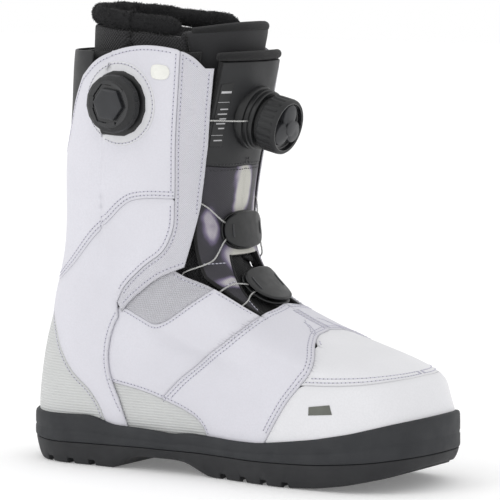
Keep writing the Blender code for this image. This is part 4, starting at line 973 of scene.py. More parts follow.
lining_half = np.vstack([(0.0, HEM), (0.0, throat_edge[0][1] - 3), (throat_edge[0][0], throat_edge[0][1] - 3),
                         throat_edge[throat_edge[:, 1] < 254],
                         (np.interp(255.5, throat_edge[:, 1], throat_edge[:, 0]),
                                                               255.5)])
lining = np.vstack([lining_half, lining_half[::-1] * (-1, 1) + (2 * PI, 0)])
panel("skin_shell_lining", lining, -5.0, lambda z: -wall_depth(z), LOOKS["black_fabric"], "black_fabric",
      ["shell_lining"], puff=0.0, radius=1.0, spacing=3.5, step=4, known=False)
harness = from_side(curve([(130, 186), (122, 192), (112, 186), (100, 150), (82, 118), (66, 96), (70, 84),
                           (88, 90),
                           (116, 116), (126, 144), (131, 170), (130, 186)])[:-1])
harness = clipped(harness, throat_loop)
for word, side in SIDES:
    panel(f"skin_ankle_harness_{word}", harness * (side, 1), lambda z: -wall_depth(z) - 0.5,
          lambda z: -wall_depth(z) - 1.5, LOOKS["black_fabric"], "black_fabric",
          [f"ankle_harness_{word}"], puff=0,
          radius=0.4, spacing=3.5, step=4, known=False)

# ---- the tongue -----------------------------------------------------------------------------------
tongue_edge = throat_line(-TONGUE_INSET, TONGUE_HALF_WIDTH,
                          (92.6, 95, 98, 101, 105, 109, 112, 115, 118, 121, 124,
                                                             127, 130, 134, 138, 142, 148, 156, 166, 180,
                                                             200, 223,
                                                             240, TONGUE_TOP))
tongue = mirrored(tongue_edge)
above = across(from_side([*TONGUE_SEAM, (260, 320), (90, 320)]))
under = across(from_side([*TONGUE_SEAM, (260, 60), (90, 60)]))
panel("skin_tongue_upper", clipped(tongue, under), -1.3, -2.4, LOOKS["black_leather"], "black_leather",
      ["tongue_upper"], "tongue", puff=0.3)
panel("skin_tongue_lower", clipped(tongue, above), -1.5, -2.4, LOOKS["print"], "printed_textile",
      ["tongue_lower"], "tongue", puff=0.3)
panel("skin_tongue_pad", tongue, -2.6, lambda z: -wall_depth(z), LOOKS["black_fabric"], "black_fabric",
      ["tongue_pad"], "tongue", radius=1.6, puff=0, spacing=3, step=4, known=False)
for word, side in SIDES:
    edge = even(tongue_edge * (side, 1), 3)
    tube(f"tongue_edge_tape_{word}", skin(edge[:, 1], edge[:, 0], -2.2), 1.15, LOOKS["black_fabric"],
         "tongue")


def sloping(z, phi):
    """A level of the liner's top, which drops towards the front."""
    phi = np.asarray(phi, float)
    return z - TOP_FALL * (last_point(z, phi)[..., 0] - float(BACK(z)))


def fabric_tube(name, heights, offset, radius, spread, body, replaces=(), look="black_fabric"):
    """A rolled edge across the front, from one side to the other."""
    phi = np.radians(np.linspace(-spread, spread, 41))
    return tube(name, skin(heights(phi), phi, offset), radius, LOOKS[look], body, replaces, sides=16)


fabric_tube("tongue_rolled_top", lambda phi: np.full(len(phi), TONGUE_TOP + 3.0), -3.9,
            lambda s: 2.0 + 1.0 * math.sin(
    PI * s) ** 0.3, 38.5, "tongue", ["tongue_binding"])


def front_panel(name, outline, top, low, look, slot, replaces=(), body="tongue", **more):
    return panel(name, from_front(outline), top, low, LOOKS[look], slot, replaces, body, known=False, **more)


front_panel("skin_tongue_label", [(-31, 199), (-23.8, 199), (-24.2, 238), (-31, 237)], -0.75, -1.5, "plastic",
            "black_leather", ["tongue_label"], puff=0, radius=0.35, spacing=1.5)
# height, length and thickness of each plain bar
LABEL_ROWS = ((231.5, 5.6, 1.3), (226, 6.2, 0.28), (221.5, 4.4, 0.75), (218.6, 5.2, 0.75), (215.7, 3.8, 0.75),
              (212.8, 5.0, 0.75), (209.9, 3.4, 0.75), (206.0, 6.2, 0.28), (202.6, 4.6, 0.75))
for row, (z, long, thick) in enumerate(LABEL_ROWS):
    front_panel(f"label_bar_{row}", [(-24.6 - long, z), (-24.6, z), (-24.6, z + thick),
                                     (-24.6 - long, z + thick)],
                -0.66, -0.8, "ink", "black_leather", puff=0, radius=0.05, spacing=0.8, rough=0, back=False)


def guide(name, z, half_width, height):
    """A moulded guide: two plates and a core, which leaves a mouth on each side for the lace."""
    wide, narrow, high, low = half_width, 0.7 * half_width, 0.5 * height, 0.26 * height
    hexagon = [(wide, low), (narrow, high), (-narrow, high), (-wide, low), (-wide, -low), (-narrow, -high),
               (narrow, -high), (wide, -low)]
    rounded = curve([*hexagon, hexagon[0]], 2.2)[:-1]
    core = [(0.62 * narrow, high - 1), (-0.62 * narrow, high - 1), (-4.2, 2.2), (-4.2, -2.2),
            (-0.62 * narrow, 1 - high),
            (0.62 * narrow, 1 - high), (4.2, -2.2), (4.2, 2.2)]
    front_panel(name + "_foot", [(y * 1.02, z + up * 1.02) for y, up in rounded], 0.25, -1.4, "plastic",
                "black_plastic", radius=0.7, puff=0.0)
    front_panel(name + "_core", [(y, z + up) for y, up in core], 2.6, -0.2, "plastic", "black_plastic",
                radius=0.2, puff=0.0)
    front_panel(name + "_roof", [(y, z + up) for y, up in rounded], 3.7, 2.3, "plastic", "black_plastic",
                [name],
                radius=1.0, puff=0.3)
    ribs = [[(side * wide * 0.74, z - low * 0.8), (side * wide * 0.8, z - low * 0.8),
             (side * wide * 0.8, z + low * 0.8),
             (side * wide * 0.74, z + low * 0.8)] for side in (-1, 1)]
    for rib, word in zip(ribs, ("lateral", "medial")):
        front_panel(f"{name}_rib_{word}", rib, 4.3, 3.5, "cap", "black_plastic", radius=0.25, puff=0,
                    spacing=1.2)


guide("upper_guide", 147.5, 18.0, 20)
guide("lower_guide", 114.0, 15.5, 17)


# ---- the sole -------------------------------------------------------------------------------------
CROSS_GROOVES = (27, 43, 59, 157, 173, 189, 205)
ground, parting, rim_top = profile(GROUND, 3), profile(PARTING, 6), profile(RIM_TOP, 4)


def groove_share(x, y):
    """1 in the tread's grooves and 0 on its lugs, with steep walls between."""
    x, y = np.broadcast_arrays(np.asarray(x, float), np.asarray(y, float))
    deep = np.zeros(x.shape)
    for at in CROSS_GROOVES:
        deep = np.maximum(deep, np.clip((2.6 - np.abs(x - at)) / 0.5, 0, 1))
    for y_at, low, high in ((0.0, 20, 66), (-19.0, 151, 211), (19.0, 151, 211)):
        bar = np.clip((2.7 - np.abs(y - y_at)) / 0.5, 0, 1) * ((x > low) & (x < high))
        deep = np.maximum(deep, bar)
    return deep


def sole_phi():
    """Angles round the sole, with extra ones at the tread's cross grooves."""
    base = list(np.linspace(-PI, PI, 200, endpoint=False))
    back, front = float(BACK(SOLE_LEVEL)), float(FRONT(SOLE_LEVEL))
    for at in CROSS_GROOVES:
        for x in (at - 2.65, at - 2.05, at, at + 2.05, at + 2.65):
            phi = math.acos(2 * (x - back) / (front - back) - 1)
            base += [phi, -phi]
    base = sorted(base)
    return np.array([a for a, b in zip(base, [*base[1:], 9]) if b - a > 1e-3])


SOLE_PHI = sole_phi()
SOLE_X = last_point(SOLE_LEVEL, SOLE_PHI)[:, 0]


def sole_ring(height, offset):
    flat = skin(SOLE_LEVEL, SOLE_PHI, offset - SOLE_CLOSES_IN * ease((SOLE_X - 100) / 60))
    return np.stack([flat[:, 0], flat[:, 1], height], axis=1)


def ringed(name, rings, look, replaces, body="root", cap=None):
    count, size = len(rings), len(rings[0])
    points = np.vstack(rings)
    faces = [(k * size + i, k * size + (i + 1) % size, (k + 1) * size + (i + 1) % size, (k + 1) * size + i)
             for k in range(count - 1) for i in range(size)]
    if cap:
        points, more = cap(points)
        faces += more
    return add(name, points, faces, look, body, replaces, sharp=38)


def tread(points):
    """Closes the sole's first ring with rows across it, whose heights follow the tread."""
    left = sorted((i for i, phi in enumerate(SOLE_PHI) if -PI + 1e-4 < phi < -1e-4), key=lambda i: SOLE_X[i])
    rows, faces, added = [], [], []
    across_count = 44
    for i in left:
        j = int(np.argmin(np.abs(SOLE_PHI + SOLE_PHI[i])))
        row = [i]
        for share in np.linspace(0, 1, across_count)[1:-1]:
            spot = points[i] * (1 - share) + points[j] * share
            x, y = spot[0], spot[1]
            spot = np.array((x, y, float(ground(x)) + TREAD_DEPTH * float(groove_share(x, y))))
            row.append(len(points) + len(added))
            added.append(spot)
        rows.append([*row, j])
    for a, b in zip(rows, rows[1:]):
        faces += [(a[k], a[k + 1], b[k + 1], b[k]) for k in range(across_count - 1)]
    heel, toe = int(np.argmin(SOLE_X)), int(np.argmax(SOLE_X))
    faces += [(heel, rows[0][k + 1], rows[0][k]) for k in range(across_count - 1)]
    faces += [(toe, rows[-1][k], rows[-1][k + 1]) for k in range(across_count - 1)]
    return np.vstack([points, added]), faces


low, line, rim = ground(SOLE_X), parting(SOLE_X), rim_top(SOLE_X)
ceiling = low + TREAD_DEPTH * groove_share(SOLE_X, 60.0)


def wall_ring(share, offset, above=0.0):
    return sole_ring(np.maximum(low * (1 - share) + line * share + above, ceiling), offset)


ringed("sole_outsole", [wall_ring(0, -1.6), wall_ring(0, 0.4, 0.5), wall_ring(0.1, 1.3, 0.6),
                        wall_ring(0.35, 2.3),
                        wall_ring(0.6, 3.2), wall_ring(0.8, 3.7), wall_ring(1.0, 3.9, -1.5),
                        wall_ring(1.0, 3.7, -0.9), wall_ring(1.0, 2.4, -0.5)], LOOKS["sole"],
       ["outsole"], cap=tread)
cup = [(3.0, line - 0.6), (4.15, line - 0.2), (RIM_OUTER - 0.1, line + 0.5), (RIM_OUTER, line + 1.6),
       (RIM_OUTER - 0.05, line * 0.62 + rim * 0.38 - 0.9), (RIM_OUTER - 0.45, line * 0.6 + rim * 0.4 - 0.4),
       (RIM_OUTER - 0.45, line * 0.58 + rim * 0.42), (RIM_OUTER - 0.1, line * 0.55 + rim * 0.45 + 0.4),
       (RIM_OUTER - 0.1, line * 0.3 + rim * 0.7), (RIM_OUTER - 0.2, rim - 2.2), (RIM_OUTER - 0.55, rim - 0.9),
       (RIM_OUTER - 1.3, rim - 0.15), (RIM_OUTER - 2.4, rim), (0.6, rim - 0.4), (0.3, rim - 3),
       (0.3, rim * 0 + 22)]
ringed("sole_cup", [sole_ring(height, offset) for offset, height in cup], LOOKS["midsole"],
       ["midsole"])


def flat_slab(name, depth, above, thick, look, node):
    """A flat part inside the boot, with rounded edges."""
    phi = np.linspace(-PI, PI, 90, endpoint=False)

    def ring(extra, height):
        flat = skin(LINER_SECTION, phi, np.full(len(phi), -depth - extra))
        floor = MIDSOLE_FLOOR + TOE_LIFT * ease((flat[:, 0] - 225) / 62) + BOARD_THICKNESS + 0.9
        return np.stack([flat[:, 0], flat[:, 1], floor + above + height], axis=1)
    rings = [ring(1.2, 0), ring(0.3, 0.25), ring(0, 0.9), ring(0, thick - 0.9), ring(0.3, thick - 0.25),
             ring(1.2, thick)]
    middle = rings[-1].mean(0)
    for share in (0.75, 0.5, 0.25, 0.02):
        inner = rings[-1 if share == 0.75 else 5] * share + middle * (1 - share)
        inner[:, 2] = np.interp(inner[:, 0], *zip(*sorted((p[0], p[2]) for p in rings[5])))
        rings.append(inner)
    ringed(name, rings, LOOKS[look], [node])


foot_depth = float(liner_depth(38.0))
flat_slab("skin_footbed", foot_depth + 6.0, LINER_SOLE + LINER_FLOOR + 0.7, FOOTBED, "footbed",
          "footbed")
for node, look in (("lasting_board", "board"), ("liner_sole", "sole"), ("harness_dock_lateral", "plastic"),
                   ("harness_dock_medial", "plastic"), ("side_dial_cup", "plastic"),
                   ("side_dial_spool", "gloss"),
                   ("side_dial_ratchet", "gloss"), ("side_dial_screw", "steel"),
                   ("tongue_dial_cup", "plastic"),
                   ("tongue_dial_spool", "gloss"), ("tongue_dial_ratchet", "gloss"),
                   ("tongue_dial_screw", "steel")):
    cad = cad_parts[node]
    cad.data.materials.clear()
    cad.data.materials.append(LOOKS[look])


# ---- the dials ------------------------------------------------------------------------------------
def polygon(radius, corners, start_deg=0.0, soft=0.0):
    """The radius of a polygon at each angle, with its corners softened towards a circle."""
    def at(turn):
        step = 2 * PI / corners
        local = (turn - math.radians(start_deg)) % step - step / 2
        flat = radius * math.cos(step / 2) / np.cos(local)
        return flat * (1 - soft) + radius * math.cos(step / 4) * soft
    return at


def smaller(shape, by, share=1.0):
    return lambda turn: shape(turn) * share - by


def knurled(shape, teeth, deep):
    return lambda turn: shape(turn) - deep * (0.5 - 0.5 * np.cos(teeth * turn)) ** 2


def lobed_base(turn):
    """A faceted round plate with a point that looks down and back."""
    apex = math.atan2(-0.83, -0.55)
    away = np.abs((turn - apex + PI) % (2 * PI) - PI)
    bend = math.acos(20.0 / 23.0)
    point = 20.0 / np.cos(np.minimum(np.abs(away - bend), 1.2))
    return np.where(away < bend, point, polygon(20.3, 16, 11.25)(turn))


body16 = polygon(17.75, 16, 4, 0.25)
revolved("side_dial_housing", SIDE_PLACE, [(lobed_base, -4), (lobed_base, 2.4),
                                           (smaller(lobed_base, 0.7), 3.6),
                                           (smaller(lobed_base, 1.8), 4.0), (15, 4.0), (14.6, 4.9), (0, 4.9)],
         LOOKS["plastic"], "root", ["side_dial_base"], 192)
revolved("side_dial_body", SIDE_PLACE, [(14.8, 6.0), (smaller(body16, 0.8), 6.0), (body16, 6.6)]
         + [(knurled(body16, 96, 0.35), h) for h in (7.0, 10.6)] + [(body16, 11.0),
                                                                    (smaller(body16, 0.5), 12.2)]
         + [(knurled(smaller(body16, 0.9), 96, 0.3), 12.6), (knurled(smaller(body16, 2.5), 96, 0.3), 13.7)]
         + [(smaller(body16, 2.9), 14.1), (smaller(body16, 3.6), 14.3)], LOOKS["grip"], "side_knob",
         ["side_dial_grip"], 384)
outer_shape, inner_shape = polygon(13.3, 6, 52, 0.12), polygon(10.4, 6, 52)
revolved("side_dial_face", SIDE_PLACE, [(14.6, 13.2), (14.3, 14.3), (outer_shape, 14.35),
                                        (smaller(outer_shape, 0.5), 13.5),
                                        (smaller(inner_shape, -0.5), 13.3),
                                        (smaller(inner_shape, -0.2), 13.3),
                                        (0, 13.3)], LOOKS["gloss"], "side_knob",
         ["side_dial_knob"], 240)
revolved("side_dial_top", SIDE_PLACE, [(inner_shape, 13.2), (inner_shape, 15.3),
                                       (smaller(inner_shape, 0.8), 16.0),
                                       (smaller(inner_shape, 1.5), 16.2),
                                       (smaller(inner_shape, 2, 0.6), 16.3),
                                       (0, 16.35)], LOOKS["cap"], "side_knob",
         ["side_dial_cap"], 240)
for k, (start, wide) in enumerate(((38, 40), (158, 34), (262, 30))):
    turns = np.radians(np.linspace(start, start + wide, 12))
    outer = [(13.6 * math.cos(t), 13.6 * math.sin(t), 14.75) for t in turns]
    inner = [(11.2 * math.cos(t), 11.2 * math.sin(t), 14.15) for t in turns]
    matrix = np.array(SIDE_PLACE)
    spots = np.array(outer + inner) @ matrix[:3, :3].T + matrix[:3, 3]
    add(f"side_dial_scoop_{k}", spots, [(i, i + 1, 13 + i, 12 + i) for i in range(11)], LOOKS["gloss"],
        "side_knob")


def lobes(radius, waist, turn_deg=0.0):
    start = math.radians(turn_deg)
    return lambda turn: waist + (radius - waist) * (0.5 + 0.5 * np.cos(3 * (turn - start))) ** 0.6


scallops = knurled(lambda turn: np.full_like(turn, 17.3), 24, 0.55)
revolved("tongue_dial_housing", FRONT_PLACE, [(19.6, -3.5), (19.6, 0.6), (19.0, 1.6), (18.0, 2.0),
                                              (18.0, 3.0),
                                              (18.8, 3.3), (18.8, 4.6), (18.1, 5.1), (17.6, 5.2), (17.6, 6.0),
                                              (18.2, 6.3), (18.2, 7.4), (17.6, 8.0), (14.9, 8.0), (14.6, 9.6),
                                              (0, 9.6)], LOOKS["plastic"], "tongue",
         ["tongue_dial_base"], 144)
revolved("tongue_dial_body", FRONT_PLACE, [(14.6, 10.5), (16.4, 10.5), (17.0, 11.0), (17.2, 11.8)]
         + [(scallops, h) for h in (12.3, 15.0, 18.0, 20.8)] + [(17.2, 21.4), (17.0, 22.3), (16.4, 23.1),
                                                                (15.5, 23.5),
                                                                 (14.9, 23.3)], LOOKS["grip"], "tongue_knob",
         ["tongue_dial_grip"], 288)
revolved("tongue_dial_face", FRONT_PLACE, [(15.0, 23.35), (14.5, 23.3), (14.2, 22.6), (14.0, 20.7),
                                           (13.4, 20.3),
                                           (0, 20.3)], LOOKS["gloss"], "tongue_knob",
         ["tongue_dial_knob"], 144)
arm = lobes(14.3, 7.2, -25)
revolved("tongue_dial_top", FRONT_PLACE, [(arm, 20.4), (arm, 22.9), (smaller(arm, 0.35), 23.5),
                                          (smaller(arm, 0.9, 0.97), 23.9), (smaller(arm, 1.0, 0.6), 24.8),
                                          (5.0, 25.1), (4.6, 25.6), (3.8, 25.8), (0, 25.9)], LOOKS["cap"],
         "tongue_knob", ["tongue_dial_cap"], 216)

# ---- the laces ------------------------------------------------------------------------------------
LACE_RADIUS, HIDDEN, SIDE_PORT, FRONT_PORT = 0.5, -3.1, -1.1, 4.6
SHELL_LACE_FRONT = [
    (170, 40, HIDDEN), (168, 36, -2.2), (166, 33, -0.6), (163, 29, 0.3), (153, 18.6, 1.2), (149.6, 10, 1.2),
    (147.5, 6.6, 1.2), (145.4, 10, 1.2), (142.6, 18.6, 1.2), (131, 28, 0.9), (128.2, 32.0, 0.4),
    (124.4, (52,), -2.7), (122.5, (56,), HIDDEN), (119.8, (57.5,), HIDDEN), (117.2, (53,), HIDDEN),
    (120.0, [4.5], HIDDEN), (119.2, [1.5], -2.8), (119.2, [-4.2], 0.6), (116.6, 22.0, 0.9),
    (116.0, 16.5, 1.2),
    (115.2, 9.5, 1.2), (114.0, 6.6, 1.2), (112.8, 9.5, 1.2), (111.6, 16.5, 1.2), (109.6, 21.0, 0.9),
    (110.0, [-4.2], 0.6), (109.6, [1.5], -2.8), (108.4, [4.5], HIDDEN), (105.5, [8.0], HIDDEN)]
SHELL_LACE_START = {
    "lateral": [(221, (77,), -2.6), (207, (62,), HIDDEN), (187, (53,), HIDDEN)],
    "medial": [(224, (246,), -2.6), (222, (228,), HIDDEN), (221, (208,), HIDDEN), (220, (190,), HIDDEN),
               (219, (170,), HIDDEN), (218, (150,), HIDDEN), (216, (130,), HIDDEN), (213, (110,), HIDDEN),
               (209, (90,), HIDDEN), (203, (74,), HIDDEN), (195, (61,), HIDDEN), (183, (51,), HIDDEN)]}
HARNESS_LACE = [(215, 26, 4.0), (215.3, 31, 1.6), (215.3, 35, -0.2), (214.5, 38.5, -1.4), (212, 41.5, -1.4),
                (206, (55,), -1.4), (196, (63,), -1.4), (190, (66.5,), -1.6), (186.2, (67.6,), -2.9)]
SLEEVE_HEIGHTS, SLEEVE_LEAST_Y = (114.5, 123.0), 35.0


def station_point(side, z, where, offset):
    """A lace's station: at an (angle,), at a [distance past the throat's edge], or at a half width."""
    if isinstance(where, tuple):
        phi = side * math.radians(where[0])
        return skin(z, (phi + PI) % (2 * PI) - PI, offset)
    if isinstance(where, list):
        return throat_point(z, throat_half(z) + where[0], offset, side)[0]
    height = z
    for _ in range(6):
        point, _angle = at_width(height, where, side, offset)
        height += z - point[2]
    return point


def bent(piece):
    """Bakes the lace's transform into its mesh."""
    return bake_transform(piece)


for word, side in SIDES:
    start = [np.array(SIDE_PLACE @ Vector((-side * out, 0, SIDE_PORT - drop))) for out,
             drop in ((5, 0), (9, 0.1))]
    stations = [station_point(side, *s) for s in SHELL_LACE_START[word]]
    front = [station_point(side, *s) for s in SHELL_LACE_FRONT]
    whole = curve([*start, *stations, *front], 0.8)
    split = int(np.argmin(np.linalg.norm(whole - stations[-1], axis=1)))
    tube(f"lace_shell_{word}_back", whole[:split + 1:3], LACE_RADIUS, LOOKS["lace"], "root")
    run = tube(f"lace_shell_{word}", whole[split:], LACE_RADIUS, LOOKS["lace"], None,
               [f"shell_lace_{word}"], sides=12, lobes=3, pitch=3.4)
    bent(run)
    lowest, highest = SLEEVE_HEIGHTS
    turn = np.array([p for p in whole if lowest < p[2] < highest and abs(p[1]) > SLEEVE_LEAST_Y])
    tube(f"sleeve_{word}", turn[2:-2:2], 1.2, LOOKS["black_fabric"], "root",
         [f"lace_sleeve_{word}"])
    start = [np.array(FRONT_PLACE @ Vector((side * out, 0, FRONT_PORT))) for out in (15.5, 20.5)]
    path = curve([*start, *(station_point(side, *s) for s in HARNESS_LACE)], 0.8)
    run = tube(f"lace_harness_{word}", path, LACE_RADIUS, LOOKS["lace"], None,
               [f"harness_lace_{word}"],
               sides=12, lobes=3, pitch=3.4)
    bent(run)

# ---- the liner ------------------------------------------------------------------------------------
OPENING_SIDE = from_side([(142, 226), (134, 238), (127, 262), (124.2, 270)], 1, closed=False)
EDGE_PHI = float(OPENING_SIDE[-1][0])


def wrap(half):
    """A loop round the whole leg, from its half on the inner side."""
    return np.vstack([half, half[::-1] * (-1, 1) + (2 * PI, 0)])


around = np.linspace(EDGE_PHI, PI, 40)
liner_half = np.vstack([(0.002, 34), (0.002, 225.5), OPENING_SIDE[:-1],
                        np.stack([around, sloping(LINER_TOP, around)], axis=1)])
panel("skin_liner_body", wrap(liner_half), lambda z: -liner_depth(z) + 0.1,
      lambda z: -liner_depth(z) - liner_thickness(z), LOOKS["liner_mesh"], "black_fabric", ["liner_body"],
      puff=0.0,
      radius=2.0, known=False, spacing=3.0, step=3.4)


def stuffed(piece, held, most, pressure=5.0):
    """Swells the piece by a cloth simulation with pressure. No point moves more than most millimetres."""
    count = len(piece.data.vertices)
    rest = np.empty(count * 3, np.float32)
    piece.data.vertices.foreach_get("co", rest)
    group = piece.vertex_groups.new(name="held")
    group.add([int(i) for i in held], 1.0, "REPLACE")
    cloth = piece.modifiers.new("swelling", "CLOTH")
    cloth.settings.use_pressure = True
    cloth.settings.uniform_pressure_force = pressure
    cloth.settings.vertex_group_mass = "held"
    cloth.settings.effector_weights.gravity = 0
    scene = bpy.context.scene
    for frame_number in range(1, 13):
        scene.frame_set(frame_number)
    made = piece.evaluated_get(bpy.context.evaluated_depsgraph_get())
    swollen = np.empty(count * 3, np.float32)
    made.data.vertices.foreach_get("co", swollen)
    piece.modifiers.remove(cloth)
    scene.frame_set(1)
    move = (swollen - rest).reshape(-1, 3)
    length = np.linalg.norm(move, axis=1, keepdims=True) + 1e-9
    move *= np.minimum(length, most * 0.001) / length
    piece.data.vertices.foreach_set("co", (rest.reshape(-1, 3) + move).ravel())
    piece.data.update()


FLAP_TOP, FLAP_ROLL = 268.0, 267.5
flap_side = OPENING_SIDE[(OPENING_SIDE[:, 1] > 227.5) & (OPENING_SIDE[:, 1] < 267)] - (0.03, 0)
flap_top = np.linspace(flap_side[-1][0], 0.0, 12)
flap_half = np.vstack([(0.0, 227.5), (flap_side[0][0], 227.5), flap_side,
                       np.stack([flap_top, np.full(12, FLAP_TOP)], axis=1)])
flap = panel("skin_liner_flap", mirrored(flap_half), lambda z: -liner_depth(z) - 0.6,
             lambda z: -liner_depth(z) - liner_thickness(z) + 0.8, LOOKS["lycra"], "black_fabric",
             ["liner_flap"], None, radius=3.0, puff=0.8, spacing=3, step=3, known=False)
low_part = [v.index for v in flap.data.vertices if v.co.z < 0.231]
stuffed(flap, low_part, 1.2)
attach(flap, "root")
roll_phi = np.linspace(-flap_side[-1][0] * 0.93, flap_side[-1][0] * 0.93, 33)
roll_level = np.full(33, FLAP_ROLL)
tube("flap_rolled_top", skin(roll_level, roll_phi, -liner_depth(roll_level) - 3.2),
     lambda s: 2.6 + 0.6 * math.sin(PI * s), LOOKS["black_fabric"], "root", sides=14)


def fur_roll():
    """The collar: a stuffed roll round the liner's top, open at the front."""
    count, sides = 96, 20
    phi = np.linspace(EDGE_PHI + 0.04, 2 * PI - EDGE_PHI - 0.04, count)
    level = 0.5 * (LINER_TOP + COLLAR_TOP)
    z = sloping(level, phi)
    wide = liner_thickness(z) / 2 + 1.2
    middle = -liner_depth(z) - liner_thickness(z) / 2 + 0.8
    share = np.linspace(0, 1, count)
    grow = np.minimum(1, np.minimum(share, 1 - share) * 26 + 0.15) ** 0.5
    lumps = 1 + 0.05 * np.sin(phi * 9.0 + 0.6) + 0.03 * np.sin(phi * 21 + 1.9)
    rings = []
    for turn in np.linspace(0, 2 * PI, sides, endpoint=False):
        offset = middle + wide * grow * lumps * math.cos(turn)
        height = 5.6 * grow * lumps * math.sin(turn)
        ring = skin(z, phi, offset)
        ring[:, 2] = z + height
        rings.append(ring)
    points = np.stack(rings, axis=1).reshape(-1, 3)
    faces = [(k * sides + i, k * sides + (i + 1) % sides, (k + 1) * sides + (i + 1) % sides,
              (k + 1) * sides + i)
             for k in range(count - 1) for i in range(sides)]
    faces += [tuple(range(sides))[::-1], tuple((count - 1) * sides + i for i in range(sides))]
    piece = add("skin_liner_collar", points, faces, LOOKS["fur"], None, ["liner_collar"])
    lowest = [k * sides + i for k in range(count) for i in range(13, 18)]
    # The rings give the roll its shape: the filling moves it by only about 0.01 mm.
    stuffed(piece, lowest, 1.6)
    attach(piece, "root")
    return piece


def fur_strands(piece, amount, random):
    """Tapered strands that lean away from the collar, with their tips bent down."""
    mesh = piece.data
    count = len(mesh.polygons)
    centres, normals, areas = np.empty(count * 3), np.empty(count * 3), np.empty(count)
    mesh.polygons.foreach_get("center", centres)
    mesh.polygons.foreach_get("normal", normals)
    mesh.polygons.foreach_get("area", areas)
    centres, normals = centres.reshape(-1, 3), normals.reshape(-1, 3)
    pick = random.choice(count, amount, p=areas / areas.sum())
    normal = normals[pick]
    loose = random.normal(0, 1, (amount, 3))
    aside = np.cross(normal, loose)
    aside /= np.linalg.norm(aside, axis=1, keepdims=True)
    root = centres[pick] + np.cross(aside, normal) * random.normal(0, 0.0011, (amount, 1))
    root += aside * random.normal(0, 0.0011, (amount, 1)) - normal * 0.0005
    long = random.uniform(0.0022, 0.0052, (amount, 1))
    lean = normal + 0.55 * random.normal(0, 1, (amount, 3)) * (0.6, 0.6, 0.4)
    lean /= np.linalg.norm(lean, axis=1, keepdims=True)
    width = aside * random.uniform(0.00011, 0.00019, (amount, 1))
    middle = root + lean * long * 0.55
    tip = root + lean * long - np.array((0, 0, 1.0)) * long * 0.22
    points = np.stack([root - width, root + width, middle - width * 0.8, middle + width * 0.8, tip], axis=1)
    faces = [face for k in range(0, 5 * amount, 5) for face in ((k, k + 1, k + 3, k + 2),
                                                                (k + 2, k + 3, k + 4))]
    add("collar_strands", points.reshape(-1, 3) * 1000 + ORIGIN, faces, LOOKS["strand"], "root")


FUR_STRANDS, FUR_SEED = 9000, 7
fur_strands(fur_roll(), FUR_STRANDS, np.random.default_rng(FUR_SEED))

# ---- the welt, the stitches and the marks ---------------------------------------------------------
turns = np.linspace(0, 2 * PI, 60, endpoint=False)
dial_x, dial_z = SIDE_DIAL[1], SIDE_DIAL[0]
WELT, WELT_SEAM = 25.5, 24.2    # radii round the side dial
welt = from_side([(dial_x + WELT * math.cos(t), dial_z + WELT * math.sin(t)) for t in turns], -1)
panel("dial_welt", welt, 3.0, 0.9, LOOKS["smooth"], "white_leather", puff=0.3, radius=0.8)
panel("blank_badge", from_side(curve([(111, 243.5), (112, 241), (121, 240.5), (123, 243), (123, 246.5),
                                      (121, 248.5),
                                      (112, 248.5), (111, 246), (111, 243.5)], 1)[:-1], -1), 3.0, 1.6,
      LOOKS["badge"], "white_leather", puff=0.15, radius=0.5, spacing=0.8)
panel("toe_mark", from_side([(222, 45), (238, 46.5), (236, 52), (222, 50)], -1), 0.56, 0.3, LOOKS["mark"],
      "white_leather", puff=0.0, radius=0.05, spacing=1.5, rough=0, known=False)


def seam_line(points, side):
    return from_side(points, side, closed=False, step=2.0)


rows, double = [], (2.0, 4.3)
for side in (-1, 1):
    for line, distances in ((part(cuff_top, high_x=141), (-2.6,)), (part(lower, low_z=32), (2.6,)),
                            (part(band, high_z=256, low_z=110), (2.2, -2.0)), (ankle, double),
                            (part(spine, high_x=57), (-2.0,)), (part(counter, low_z=30), (2.0,)),
                            (mesh_seam, (2.0,)), (quarter, (-2.0, -4.3)), (part(arch, low_z=26), (-2.0,)),
                            (part(quarter_edge, low_z=30), double), (part(rand, low_x=218), (-2.0, -4.3))):
        rows += [(seam_line(line, side), side * d) for d in distances]
    rows.append((throat_edge[throat_edge[:, 1] < 126] * (side, 1), -2.2 * side))
    rows.append((cuff_edge[cuff_edge[:, 1] > 128] * (side, 1), -2.6 * side))
    rows.append((from_top([(193, 10.2), (201, 12.7), (209, 19), (216, 25.2)], side), 0.0))
round_dial = [(dial_x + WELT_SEAM * math.cos(t), dial_z + WELT_SEAM * math.sin(t)) for t in (*turns, 0.0)]
rows.append((seam_line(round_dial, -1), 0.0))
stitch_rows("seam_stitches", rows, LOOKS["thread"], LOOKS["hole"], "root")
dark = [(seam_line(curve(TONGUE_SEAM), side), distance) for side in (-1, 1) for distance in (-1.8, 1.8)]
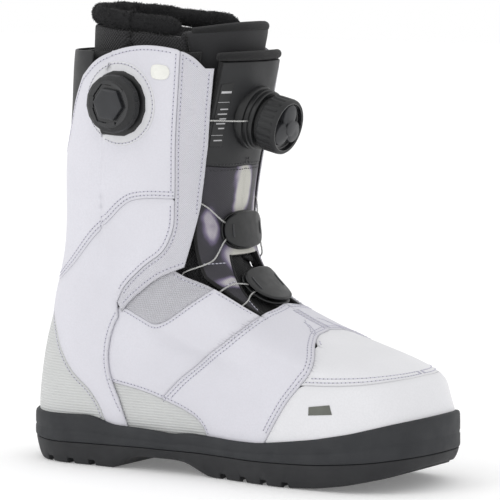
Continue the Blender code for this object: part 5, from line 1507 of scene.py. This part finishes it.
stitch_rows("tongue_stitches", dark, LOOKS["black_thread"], None, "tongue",
            ["skin_tongue_u", "skin_tongue_l"])

# ---- the stage ------------------------------------------------------------------------------------
floor_mesh = bpy.data.meshes.new("floor")
floor_mesh.from_pydata([(-6, -6, 0), (6, -6, 0), (6, 6, 0), (-6, 6, 0)], [], [(0, 1, 2, 3)])
floor = bpy.data.objects.new("floor", floor_mesh)
bpy.context.scene.collection.objects.link(floor)
floor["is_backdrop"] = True
floor.data.materials.append(Look("pale_floor", 0.9, Base_Color=rgb(0.9, 0.9, 0.9), Emission_Strength=0.16,
                                 Emission_Color=rgb(1, 1, 1)).made)

world = bpy.data.worlds.new("studio")
bpy.context.scene.world = world
world.use_nodes = True
world.node_tree.nodes["Background"].inputs["Color"].default_value = (1.0, 1.0, 1.0, 1.0)
world.node_tree.nodes["Background"].inputs["Strength"].default_value = 1.0


def soft_light(name, place, size, power):
    light = bpy.data.lights.new(name, "AREA")
    light.shape, light.size, light.energy = "DISK", size, power
    lamp = bpy.data.objects.new(name, light)
    bpy.context.scene.collection.objects.link(lamp)
    lamp.location = place
    lamp.rotation_mode = "QUATERNION"
    lamp.rotation_quaternion = (Vector((0, 0, 0.13)) - Vector(place)).to_track_quat("-Z", "Y")
    lamp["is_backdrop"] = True


soft_light("key", (-0.7, -1.5, 1.6), 1.0, 4.0)

AZIMUTH, ELEVATION, DISTANCE = math.radians(32), math.radians(5.5), 2.2
AIM = Vector((-0.0002, 0.0138, 0.1341))
camera = bpy.data.objects.new("camera", bpy.data.cameras.new("camera"))
bpy.context.scene.collection.objects.link(camera)
bpy.context.scene.camera = camera
camera.data.lens, camera.data.sensor_width = 259.0, 36
back = Vector((math.sin(AZIMUTH) * math.cos(ELEVATION), -math.cos(AZIMUTH) * math.cos(ELEVATION),
               math.sin(ELEVATION)))
camera.location = AIM + back * DISTANCE
camera.rotation_mode = "QUATERNION"
camera.rotation_quaternion = (-back).to_track_quat("-Z", "Y")
bpy.context.scene.view_settings.view_transform = "Standard"

low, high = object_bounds()
